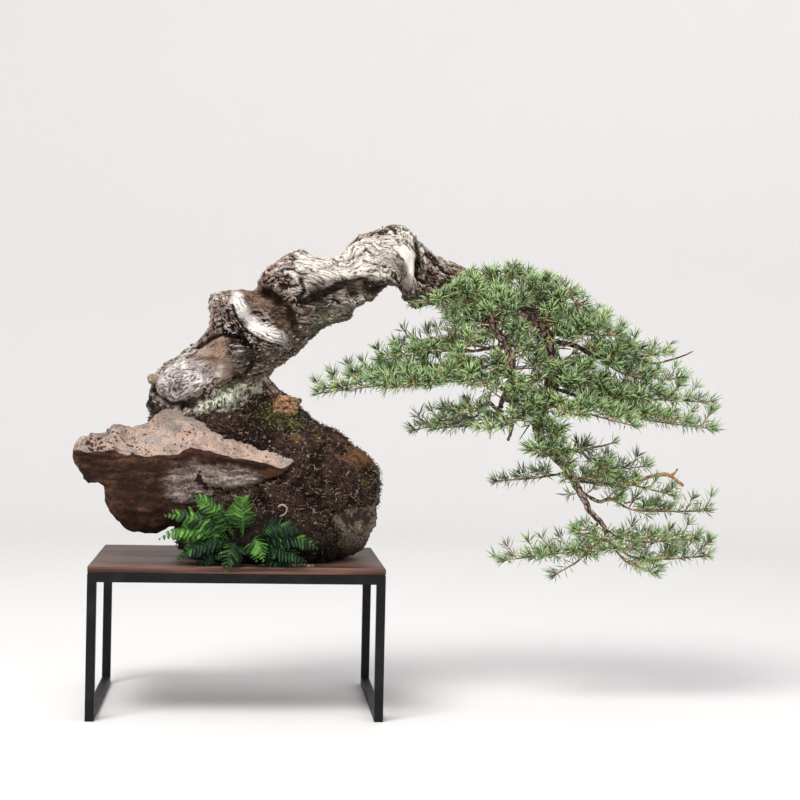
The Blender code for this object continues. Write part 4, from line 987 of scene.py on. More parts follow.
def slab_finish(settings):
    """Red volcanic stone: a pale speckled upper face, partly painted light from above, and a dark streaked
    lower one with greyish layers and a darker foot, partly painted shade under the lip; painted shade
    darkens the dips, the pits and holes, and the grooves between the layers.
    """
    finish = Finish("red_stone", roughness=0.92, specular=0.08)
    upper, pit, patch, layer, grey, dip = finish.marks("upper", "pit", "patch", "layer", "grey", "dip")
    broad = finish.noise(34, detail=4)
    spots = finish.noise(11, detail=5, rough=0.65)
    grains = finish.noise(2.0, detail=4, rough=0.7)
    specks = finish.cells(3.1)
    streak = finish.noise(8, detail=6, rough=0.75, place=finish.scaled(0.6, 0.6, 1.2), warp=1.8)
    top = finish.laid(
        finish.ramp(broad, 0.44, 0.60, tuple(settings.upper), (0.30, 0.27, 0.25)),
        (spots + broad * 0.3, 0.66, 0.80, 0.65, (0.52, 0.27, 0.165)),
        (grey, 0.2, 0.8, 0.85, (0.20, 0.165, 0.145)),
    )
    top = finish.laid(
        # Painted shade in the dips of the relief
        finish.mix(dip * 0.5, top, (0.14, 0.09, 0.07)),
        (spots, 0.47, 0.36, 0.55, (0.19, 0.14, 0.115)),
        (grains, 0.56, 0.70, 0.8, (0.64, 0.57, 0.51)),
        (grains, 0.45, 0.34, 0.8, (0.085, 0.055, 0.043)),
        (specks, 0.28, 0.12, 0.75, (0.055, 0.034, 0.027)),
        # Painted shade in the pits and holes
        (pit, 0.1, 0.6, 0.95, (0.042, 0.018, 0.012)),
    )
    layered_grey = finish.ramp(streak + grains * 0.6, 0.68, 0.92, (0.18, 0.122, 0.10), (0.62, 0.52, 0.46))
    # The lower face: its own streaked colour, darkened partly as painted shade under the lip
    below = finish.laid(
        finish.ramp(streak, 0.36, 0.64, times(0.5, settings.lower), tuple(settings.lower)),
        (broad + spots * 0.5, 0.72, 0.95, 0.5, (0.21, 0.10, 0.055)),
        (grains, 0.52, 0.68, 0.4, (0.23, 0.145, 0.105)),
        (grains, 0.46, 0.34, 0.6, (0.022, 0.013, 0.010)),
        (patch + spots * 0.5, 0.5, 0.85, 0.88, layered_grey),
        # Painted shade in the grooves between the layers
        (layer, 0.45, 0.1, 0.55, (0.02, 0.011, 0.008)),
        (finish.axis("Z") + broad * 0.04, 0.330, 0.270, 0.72, (0.013, 0.011, 0.006)),
    )
    colour = finish.ramp(upper, 0.35, 0.65, below, top)
    return finish.done(colour, 0.86 + grains * 0.12, grains + specks * 0.3, 0.7)


def base_surface():
    """The base stone's skin and marks: rounded sections under layered noise and ridges.

    Cracks run where the two nearest of strewn points are equally near, and blocks stand out by a number
    drawn for each cell of a bent grid.
    """
    along, top, under, front, back = between(BASE_STATIONS, BASE_ALONG).T[:, :, None]
    turn = np.linspace(0, 2 * math.pi, BASE_ROUND, endpoint=False)
    across = (front + back) / 2 - (front - back) / 2 * rounded(np.cos(turn), BASE_SQUARENESS)
    up = (top + under) / 2 + (top - under) / 2 * rounded(np.sin(turn), BASE_SQUARENESS)
    rings = np.stack([along + 0 * turn, across, STAND_HEIGHT + up], axis=-1)
    rings = swollen(rings, BASE_LUMPS, BASE_SEED)
    normal = facing(rings)
    first, second = nearest_two(rings, (22, 22, 14), 63)
    height = 3.6 * layered(rings, 22, 61, layers=4) + 1.6 * (ridged(rings, 7, 62) - 0.5)
    facet = 2.5 * hashed(np.floor(rings / (19, 23, 13) + 0.3 * lumps(rings, 12, 65)[..., None]), 5)
    height = height + 3.4 * smooth(second - first, 0.0, 0.25) + facet - 3.8
    # Low places of the relief, which the finish darkens as painted shade in the cracks
    deep = smooth(-height, -1.0, 3.0)
    rings = rings + normal * height[..., None]
    rings[..., 2] = np.maximum(rings[..., 2], STAND_HEIGHT + BOARD_GAP)
    return rings, {"deep": deep}


def base_finish():
    """Dark stone with olive and orange-brown lichen in clouds and pale worn grains, painted shade in its
    cracks, and painted shadow darkening its foot.
    """
    finish = Finish("dark_stone", roughness=0.86, specular=0.12)
    (deep,) = finish.marks("deep")
    broad = finish.noise(26, detail=4)
    fine = finish.noise(3.2, detail=4, rough=0.7)
    colour = finish.laid(
        finish.ramp(fine, 0.35, 0.7, (0.040, 0.030, 0.022), (0.30, 0.245, 0.18)),
        (broad, 0.5, 0.7, 0.5, (0.13, 0.13, 0.055)),
        (broad, 0.44, 0.30, 0.5, (0.24, 0.12, 0.05)),
        # Painted shade in the cracks and hollows
        (deep, 0.2, 0.8, 0.85, (0.018, 0.014, 0.010)),
        # Painted shadow at the stone's foot, darker towards the board
        (finish.axis("Z") + broad * 0.03, 0.290, 0.240, 0.85, (0.012, 0.011, 0.008)),
    )
    return finish.done(colour, 0.78 + fine * 0.2, fine, 0.8)


class BONSAI_OT_stones(bpy.types.Operator):
    """Makes the pitted slab stone and the dark stone under the soil."""

    bl_idname = "bonsai.stones"
    bl_label = "Stones"

    def execute(self, context):
        settings = context.scene.bonsai_stone
        rings, marks = slab_surface(settings)
        heap = Heap()
        heap.add(*skin(rings), **{name: with_ends(value) for name, value in marks.items()})
        finished(heap.build("slab_surface", [slab_finish(settings)]), "red_stone", "slab_stone")
        heap = Heap()
        rings, marks = base_surface()
        heap.add(*skin(rings), **{name: with_ends(value) for name, value in marks.items()})
        finished(heap.build("base_surface", [base_finish()]), "dark_stone", "base_stone")
        return {"FINISHED"}


# Soil


def mound_rings(along, around):
    """The mound's level rings, squared a little, moved in and out by noise as the fixed model's are."""
    level, left, right, front, back = between(MOUND_STATIONS, along).T[:, :, None]
    turn = np.linspace(0, 2 * math.pi, around, endpoint=False)
    across = (left + right) / 2 + (right - left) / 2 * rounded(np.cos(turn), MOUND_SQUARENESS)
    wave = rounded(np.sin(turn), MOUND_SQUARENESS)
    deep = np.where(wave > 0, back * wave, -front * wave)
    rings = np.stack([across, deep, STAND_HEIGHT + level + 0 * turn], axis=-1)
    return swollen(rings, MOUND_LUMPS, MOUND_SEED)


def soil_marks(points):
    """Where the soil is warm-coloured, mossy, pale with lichen or rocky, and where it is low and takes
    painted shade, from 0 to 1.
    """
    drift = lumps(points, 16, 71)
    fine = lumps(points, 5, 72)
    lichen, rock = (1 - smooth(near_path(points, path), 8, 20) for path in (LICHEN_PATH, ROCK_PATH))
    return {
        "warm": np.clip(blobs(points, WARM_SOIL) + 0.35 * drift + 0.2 * fine - 0.15, 0, 1),
        "moss": np.clip(blobs(points, MOSSY_SOIL) + 0.4 * drift + 0.4 * fine - 0.25, 0, 1),
        "lichen": np.clip(lichen * (0.8 + 0.8 * fine + 0.4 * drift), 0, 1),
        "rock": np.clip(rock * (1 + 0.5 * drift + 0.3 * fine), 0, 1),
        # Painted shade low on the mound, by the board and in the hollow at the front
        "damp": 1 - smooth(points[..., 2] + 8 * drift - blobs(points, [SHADED_HOLLOW]), 238, 272),
    }


def behind_slab(points):
    """Points of the mound moved back until they lie behind the slab stone's lower face."""
    along, _, lip, bottom, front, back = np.array(SLAB_STATIONS, float).T
    x, y, z = np.moveaxis(points, -1, 0)
    lip, bottom, front, back = (np.interp(x, along, row) for row in (lip, bottom, front, back))
    lift = (z - bottom) / (lip - bottom)
    share = np.interp(lift, (0, 0.30, 0.70, 0.92, 1.2), (0.58, 0.78, 0.91, 1.0, 1.0))
    face = back + (front - back) * share + SOIL_BEHIND_SLAB
    near = smooth(lift, -0.15, 0.1) * (1 - smooth(lift, 1.0, 1.3))
    near = near * smooth(x, -150, -130) * (1 - smooth(x, 62, 80))
    moved = np.where(y < face, y + (face - y) * near, y)
    return np.stack([x, moved, z], axis=-1)


def off_stone(points):
    """Points low at the mound's right drawn in towards its middle, so that the stone shows."""
    low = 1 - smooth(points[..., 2] + 6 * lumps(points, 18, 76), 286, 304)
    near = low * smooth(points[..., 0] + 8 * lumps(points, 22, 77), 128, 160)
    inward = unit((MOUND_MIDDLE - points) * (1, 1, 0))
    return points + inward * (MOUND_DRAWN_IN * near)[..., None]


def mound_surface():
    """The mound's skin and marks: crumbly by layered noise and by the distance to strewn points."""
    rings = off_stone(behind_slab(mound_rings(MOUND_ALONG, MOUND_ROUND)))
    normal = facing(rings)
    first, _ = nearest_two(rings, 7, 73)
    height = 5.0 * layered(rings, 28, 74, layers=4) + 2.6 * (0.55 - first)
    height = height + 1.8 * layered(rings, 5, 75, layers=2)
    rings = rings + normal * height[..., None]
    rings[..., 2] = np.maximum(rings[..., 2], STAND_HEIGHT + BOARD_GAP)
    rings[0, :, 2] = STAND_HEIGHT + BOARD_GAP
    marks = soil_marks(rings)
    # Low places of the crumbly relief, which the finish darkens as painted shade
    marks["deep"] = smooth(-height, -0.6, 2.6)
    return rings, normal, marks


def strewn(draw, rings, normal, number):
    """Random places on a closed skin, evenly by area, with the way out of the skin at each."""
    side = np.linalg.norm(np.diff(rings, axis=0), axis=-1)
    ring = np.linalg.norm(np.roll(rings, -1, axis=1) - rings, axis=-1)[:-1]
    share = (side * ring).ravel()
    chosen = draw.choice(share.size, number, p=share / share.sum())
    row, column = np.divmod(chosen, rings.shape[1])
    after = (column + 1) % rings.shape[1]
    up, over = draw.random((2, number, 1))
    low = rings[row, column] * (1 - over) + rings[row, after] * over
    high = rings[row + 1, column] * (1 - over) + rings[row + 1, after] * over
    return low * (1 - up) + high * up, normal[row, column]


def skins(rings):
    """The skins of many like shapes at once: the first one's faces, repeated for the rest."""
    number, count, around, _ = rings.shape
    ends = rings[:, [0, -1]].mean(axis=2)
    points = np.concatenate([rings.reshape(number, -1, 3), ends], axis=1)
    _, faces = skin(rings[0])
    shift = (np.arange(number) * (count * around + 2))[:, None, None]
    return points.reshape(-1, 3), [(group + shift).reshape(-1, group.shape[1]) for group in faces]


def corner_count(rings):
    """The number of points in the skin of each of many like shapes."""
    return rings.shape[1] * rings.shape[2] + 2


def crumbs(draw, places, sizes):
    """Small many-sided grains: corners round the middle, one above and one below, all moved at random."""
    number = len(places)
    turn = np.linspace(0, 2 * math.pi, CRUMB_SIDES, endpoint=False) + draw.uniform(0, 6, (number, 1))
    ring = np.stack([np.cos(turn), np.sin(turn), 0 * turn], axis=-1)
    poles = np.array([[0, 0, 1.0], [0, 0, -1.0]]) * np.ones((number, 1, 1))
    corners = np.concatenate([ring, poles], axis=1) * draw.uniform(0.65, 1.25, (number, CRUMB_CORNERS, 1))
    corners = corners * np.array([1, 1, 0.8]) + draw.uniform(-0.15, 0.15, (number, CRUMB_CORNERS, 3))
    tilt = unit(draw.normal(size=(number, 3)))[:, None]
    corners = corners + tilt * (corners @ np.array([0.4, -0.3, 0.5]))[..., None]
    first = np.arange(CRUMB_SIDES)
    after = (first + 1) % CRUMB_SIDES
    top = np.stack([first, after, np.full(CRUMB_SIDES, CRUMB_SIDES)], axis=-1)
    under = np.stack([after, first, np.full(CRUMB_SIDES, CRUMB_SIDES + 1)], axis=-1)
    faces = np.concatenate([top, under])[None] + (np.arange(number) * CRUMB_CORNERS)[:, None, None]
    points = places[:, None] + corners * sizes[:, None, None]
    return points.reshape(-1, 3), [faces.reshape(-1, 3)]


def fibres(draw, places, ways, lengths, widths, curl):
    """Thin three-sided rootlets: each a bow from its place along its way, turned aside by its curl."""
    number = len(places)
    aside = unit(np.cross(ways, draw.normal(size=(number, 3))))
    share = np.linspace(-0.5, 0.5, 3)[None, :, None]
    path = places[:, None] + ways[:, None] * share * lengths[:, None, None]
    path = path + aside[:, None] * (curl * lengths)[:, None, None] * (0.25 - share**2) * 4
    over = np.cross(ways, aside)
    turn = np.linspace(0, 2 * math.pi, 3, endpoint=False)[:, None]
    circle = aside[:, None] * np.cos(turn) + over[:, None] * np.sin(turn)
    taper = np.array([0.35, 1.0, 0.3])[None, :, None, None]
    return path[:, :, None] + circle[:, None] * taper * widths[:, None, None, None]


def soil_finish(settings):
    """Soil, moss, lichen and rootlets: coloured by the marks, with each crumb's own tone, painted shade in
    the hollows and painted shade low on the mound.
    """
    finish = Finish("soil_and_moss", roughness=0.95, specular=0.04)
    warm, moss, lichen, rock, damp, deep, tone = finish.marks(
        "warm", "moss", "lichen", "rock", "damp", "deep", "tone"
    )
    broad = finish.noise(22)
    clump = finish.noise(7)
    grain = finish.noise(1.7, rough=0.7)
    soil, green = tuple(settings.soil), tuple(settings.moss)
    middle = finish.ramp(broad, 0.4, 0.6, (0.140, 0.086, 0.070), (0.185, 0.128, 0.094))
    rusty = finish.mix(grain, (0.055, 0.022, 0.011), (0.40, 0.20, 0.10))
    mossy = finish.ramp(grain + tone * 0.5, 0.5, 0.95, times(0.25, green), times(3.2, green))
    rocky = finish.ramp(grain + clump * 0.4, 0.55, 0.9, (0.05, 0.04, 0.028), (0.27, 0.225, 0.16))
    crust = finish.ramp(grain + clump * 0.5, 0.58, 0.78, (0.04, 0.036, 0.026), (0.55, 0.58, 0.44))
    colour = finish.laid(
        finish.ramp(grain + clump * 0.5, 0.62, 0.92, times(0.2, soil), soil),
        (tone + clump * 0.5, 0.50, 0.90, 1, middle),
        (tone + clump * 0.3, 0.88, 1.12, 1, (0.34, 0.26, 0.205)),
        (tone, 0.975, 0.985, 1, (0.50, 0.42, 0.33)),
        (warm * (0.5 + clump), 0.3, 0.75, 0.75, rusty),
        (moss * (0.5 + clump), 0.3, 0.6, 0.8, mossy),
        (rock * (0.6 + clump * 0.8), 0.35, 0.6, 0.85, rocky),
        (lichen, 0.3, 0.6, 0.85, crust),
        # Painted shade in the hollows
        (deep, 0.25, 0.8, 0.8, (0.008, 0.005, 0.004)),
    )
    # Painted shade low on the mound
    colour = finish.mix(damp * 0.75, colour, (0.010, 0.010, 0.007))
    return finish.done(colour, 0.88 + grain * 0.1, grain, 0.8)


def chip_surface():
    """The bark chip's skin: a leaning rounded box, broken into steps and hollows by layered noise."""
    half = np.array(CHIP_SIZE) / 2
    lift = np.linspace(-1, 1, CHIP_ALONG)[:, None]
    turn = np.linspace(0, 2 * math.pi, CHIP_ROUND, endpoint=False)
    width = np.sqrt(np.clip(1.02 - np.abs(lift) ** 5, 0, 1))
    flat = np.stack(
        [rounded(np.cos(turn), 0.7) * width, rounded(np.sin(turn), 0.7) * width, lift + 0 * turn], axis=-1
    )
    rings = flat * half * np.array([1.05, 1.1, 1.1])
    rings = np.array(CHIP_PLACE) + rings + rings[..., 2:] * np.array(CHIP_LEAN)
    first, second = nearest_two(rings, (12, 9, 9), 94)
    height = 4.5 * layered(rings, 19, 91) + 2.2 * smooth(second - first, 0.03, 0.25)
    height = height + 1.6 * ridged(rings, (14, 8, 4), 92) + 0.5 * lumps(rings, 2.4, 93) - 2.6
    return rings + facing(rings) * height[..., None]


def chip_finish():
    """Weathered orange-brown bark with dark cracks, pale edges and moss in patches."""
    finish = Finish("chip_bark", roughness=0.9, specular=0.06)
    layer = finish.noise(5, detail=5, rough=0.65)
    grain = finish.noise(1.8, detail=4, rough=0.7)
    moss = finish.noise(8)
    olive = finish.ramp(grain, 0.4, 0.65, (0.05, 0.055, 0.015), (0.30, 0.31, 0.14))
    colour = finish.laid(
        finish.ramp(layer, 0.40, 0.60, (0.075, 0.034, 0.018), (0.42, 0.235, 0.13)),
        (grain + layer * 0.4, 0.76, 0.96, 0.6, (0.60, 0.44, 0.31)),
        (grain, 0.46, 0.32, 0.8, (0.035, 0.02, 0.012)),
        (moss, 0.50, 0.60, 0.8, olive),
    )
    return finish.done(colour, 0.85 + grain * 0.12, layer + grain, 0.8)


class BONSAI_OT_soil(bpy.types.Operator):
    """Makes the soil mound with its crumbs and rootlets, the bark chip, and the crumbs on the board."""

    bl_idname = "bonsai.soil"
    bl_label = "Soil"

    def execute(self, context):
        settings = context.scene.bonsai_soil
        finish = soil_finish(settings)
        rings, normal, marks = mound_surface()
        heap = Heap()
        heap.add(*skin(rings), tone=0.2, **{name: with_ends(value) for name, value in marks.items()})
        draw = np.random.default_rng(5)
        places, ways = strewn(draw, rings, normal, settings.crumbs)
        sizes = draw.uniform(0.7, 2.3, len(places)) * draw.uniform(0.7, 1.2, len(places))
        clear = (places[:, 2] > STAND_HEIGHT + 4) & ~in_slab(places, 1.5)
        places, ways, sizes = places[clear], ways[clear], sizes[clear]
        grains = crumbs(draw, places + ways * sizes[:, None] * 0.3, sizes)
        heap.add(*grains, **self.tones(draw, places, CRUMB_CORNERS))
        finished(heap.build("soil_surface", [finish]), "soil_and_moss", "soil_mound")
        self.make_rootlets(settings, draw, rings, normal, finish)
        self.make_chip()
        self.make_spilled(settings, finish)
        return {"FINISHED"}

    @staticmethod
    def tones(draw, places, corners):
        """The soil's marks at each place and one tone for each piece, repeated for its corners."""
        marks = soil_marks(places)
        marks["tone"] = draw.random(len(places))
        marks["deep"] = np.zeros(len(places))
        return {name: np.repeat(value, corners) for name, value in marks.items()}

    def make_rootlets(self, settings, draw, rings, normal, finish):
        """Dry curled rootlets lying on the mound, and short upright shoots where it is mossy."""
        places, ways = strewn(draw, rings, normal, settings.fibres)
        clear = (places[:, 2] > STAND_HEIGHT + 7) & ~in_slab(places, 3.5)
        places, ways = places[clear], ways[clear]
        number = len(places)
        mossy = soil_marks(places)["moss"] > 0.6
        lean = draw.normal(size=(number, 3)) + ways * np.where(mossy, 2.4, 0.35)[:, None]
        lengths = settings.fibre_length / MM * draw.uniform(0.5, 1.3, number) * np.where(mossy, 0.5, 1.0)
        widths = draw.uniform(0.4, 1.0, number)
        curl = draw.uniform(0.1, 0.5, number)
        shapes = fibres(draw, places + ways * 1.2, unit(lean), lengths, widths, curl)
        heap = Heap()
        heap.add(*skins(shapes), **self.tones(draw, places, corner_count(shapes)))
        path = between(PALE_ROOTLET, 14)
        heap.add(*skin(tube_rings(path, np.linspace(1.5, 0.8, len(path)), 8)), tone=0.98)
        finished(heap.build("rootlets", [finish]), "soil_and_moss", "soil_mound")

    @staticmethod
    def make_chip():
        """The bark chip."""
        heap = Heap()
        heap.add(*skin(chip_surface()))
        finished(heap.build("chip_surface", [chip_finish()]), "chip_bark", "bark_chip")

    @staticmethod
    def make_spilled(settings, finish):
        """A few pale crumbs lying on the board in front of the mound."""
        draw = np.random.default_rng(8)
        number = settings.spilled
        across, deep = (draw.uniform(*sides, number) for sides in SPILLED_AREA)
        sizes = draw.uniform(0.8, 2.6, number)
        places = np.stack([across, deep, STAND_HEIGHT + 0.55 * sizes], axis=-1)
        heap = Heap()
        tone = np.repeat(draw.uniform(0.7, 1.0, number), CRUMB_CORNERS)
        heap.add(*crumbs(draw, places, sizes), tone=tone)
        finished(heap.build("spilled_soil", [finish]), "soil_and_moss")


# Wood


def trunk_rings(along, around):
    """The trunk's rings: ellipses across the outline, fluted in a slow spiral, with burls and creases."""
    top_x, top_z, low_x, low_z, half_depth, middle_y = between(TRUNK_STATIONS, along).T[:, :, None]
    turn = np.linspace(0, 2 * math.pi, around, endpoint=False)
    share = np.linspace(0, 1, along)[:, None]
    flute = TRUNK_FLUTE_DEPTH * np.sin(TRUNK_FLUTES * (turn + 2 * math.pi * TRUNK_TWIST * share))
    half_x, half_z = (top_x - low_x) / 2, (top_z - low_z) / 2
    size = 1 + flute / np.hypot(half_x, half_z)
    rings = np.stack(
        [
            (top_x + low_x) / 2 + half_x * np.cos(turn) * size,
            middle_y + half_depth * np.sin(turn) * size,
            (top_z + low_z) / 2 + half_z * np.cos(turn) * size,
        ],
        axis=-1,
    )
    outward = unit(rings - rings.mean(axis=1, keepdims=True))
    for x, y, z, spread, height in TRUNK_BURLS:
        rings = rings + outward * (height * blob(rings, (x, y, z), spread))[..., None]
    return rings


# The share of its length along the grain that the finish counts, which draws its fibres out
GRAIN_SHARE = 0.24
# Smooth places on the trunk: their middle, how far they spread, and how smooth and how bleached they are
SMOOTH_WOOD = (
    (-92, -50, 484, 44, 1.0, 0.62),
    (-72, -50, 490, 18, 1.0, 0.8),
    (-44, -46, 526, 26, 1.0, 0.05),
    (-28, -48, 500, 18, 0.7, 0.3),
    (-136, -20, 482, 14, 1.0, 0.3),
    (-20, 60, 520, 36, 0.7, 0.4),
    (150, 44, 650, 40, 0.7, 0.4),
)
# Bands on the trunk's front, by their places in X and Z, and half their width
BLEACHED_BAND = (((-10, 604), (-3, 588), (9, 572), (25, 559), (42, 550), (56, 546)), 12.5)
HOLLOW_BAND = (((20, 606), (38, 596), (52, 582), (64, 564)), 20.0)
LICHEN_BAND = (((-52, 438), (-36, 448), (-14, 455), (8, 459), (26, 463)), 18.0)
CREAM_BAND = (((104, 640), (150, 654), (185, 668), (226, 678)), 40.0)
WHITE_STRIP = (((235, 680), (247, 656), (243, 630)), 8.5)
PALE_UNDERSIDE = (((128, 581), (157, 597), (172, 606)), 9.0)
# Creases in the trunk's front: their places in X and Z, half their width, and their depth
CREASES = (
    (((-4, 552), (11, 527), (13, 501), (-8, 476), (-43, 458), (-89, 444)), 7, 8),
    (((-66, 531), (-43, 545), (-16, 550), (11, 535)), 3.5, 5),
    (((-16, 593), (-7, 570), (11, 550), (34, 538), (62, 534)), 2.0, 2.8),
    (((-22, 584), (-16, 558), (2, 536), (29, 522)), 2.6, 3.6),
    (((-30, 574), (-28, 556), (-12, 540)), 2.2, 3.0),
    (((24, 616), (48, 606), (64, 592), (76, 574), (80, 554)), 6.5, 7.5),
    (((83, 598), (125, 617), (159, 630), (174, 634), (188, 624), (210, 624), (228, 620)), 7.5, 9),
    (((84, 632), (88, 616), (83, 599)), 5.0, 3.5),
    (((256, 694), (258, 664), (256, 642), (266, 634)), 4.0, 6),
    (((-133, 484), (-127, 462), (-106, 447), (-72, 441)), 3, 3.5),
    (((270, 676), (284, 662), (300, 650), (318, 648)), 3, 4),
)
# Small steps in the trunk's outline: their middle, how far they spread, and how far they stand out
TRUNK_STEPS = (
    (82, -12, 676, 4.5, 8), (76, -4, 672, 3.5, 5), (172, -6, 704, 4.5, 7), (88, 6, 675, 5, 5),
    (30, 0, 654, 14, 6), (13, 0, 620, 13, -6), (-38, -20, 600, 14, 3), (56, -10, 668, 12, 3),
    (-62, 0, 556, 16, -4), (272, -8, 682, 9, 4), (118, -20, 580, 18, -3),
)
# Places of painted shade on the trunk, in its grooves and hollows and under its ledges: their middle, how
# far they spread, and how dark they are
SHADED_WOOD = (
    (14, -50, 520, 20, 0.85), (-2, -50, 546, 12, 0.6), (-62, -48, 560, 10, 0.4), (112, -44, 608, 22, 0.8),
    (84, -30, 606, 12, 0.7), (160, -38, 621, 14, 0.85), (-30, -50, 470, 12, 0.7), (60, -50, 520, 20, 0.45),
    (6, -46, 512, 24, 0.6), (-10, -50, 494, 16, 0.6), (36, -46, 532, 14, 0.4),
    (262, -34, 650, 10, 0.7), (280, -34, 640, 14, 0.5), (190, -36, 620, 14, 0.8), (134, -36, 612, 14, 0.7),
    (-46, 0, 606, 10, 0.5), (-126, -6, 446, 22, 0.8), (70, -46, 578, 15, 0.75), (-14, -48, 524, 10, 0.7),
)
# Brown wood: its middle and how far it spreads
BROWN_WOOD = ((-38, -46, 530), 24)
# Middles of the rings of grain round the lower burl and the upper knob, and of the folds beside the band
BURL_RINGS = (-86, -52, 486)
KNOT_RINGS = (229, -14, 712)
FOLDS = (26, -46, 572)
# Coarser and mossy places on the bark: height, middle and spread
KNOBS = ((1, (-34, -30, 590), 34), (1, (50, -30, 640), 38), (1, (10, -30, 540), 36))
TRUNK_MOSS = (
    (0.9, (120, -30, 570), (34, 40, 20)),
    (0.7, (226, -12, 716), (26, 40, 8)),
    (0.8, (-10, -50, 470), (60, 40, 16)),
)
# The radius at which turns round the trunk become lengths across its grain
GRAIN_RADIUS = 46.0


def front_distance(points, path):
    """The least distance from each point to a smooth line through a path in X and Z, seen along Y."""
    flat = points * np.array([1.0, 0.0, 1.0])
    return near_path(flat, between([(x, 0, z) for x, z in path], 4 * len(path)))


def swirl(points, middle, spacing, seed):
    """Lines round a middle: a wave of the distance from it, which two sizes of noise bend."""
    away = np.linalg.norm((points - middle) * (0.85, 0.7, 1.2), axis=-1)
    bent = away / spacing + 2.2 * lumps(points, 24, seed) + 1.1 * lumps(points, 9, seed + 1)
    return 0.5 + 0.5 * np.sin(2 * math.pi * bent + 2.6 * lumps(points, 4, seed + 2))


def bark_texture(grain, plate, seed):
    """Broken bark from 0 to about 2: plates of two sizes, ridges and fine flakes, longer along the grain.

    Plates end where the two nearest of strewn points are equally near.
    """
    first, second = nearest_two(grain, (2.2 * plate, plate, plate), seed)
    crack = smooth(second - first, 0.02, 0.24)
    first, second = nearest_two(grain, (0.9 * plate, 0.45 * plate, 0.45 * plate), seed + 1)
    small = smooth(second - first, 0.0, 0.34)
    ridge = ridged(grain, (16, 3.4, 3.4), seed + 2)
    flakes = layered(grain / (2.0, 1.0, 1.0), 3.6, seed + 3, layers=2)
    return 0.65 * crack + 0.4 * small + 0.55 * ridge + 0.45 * flakes


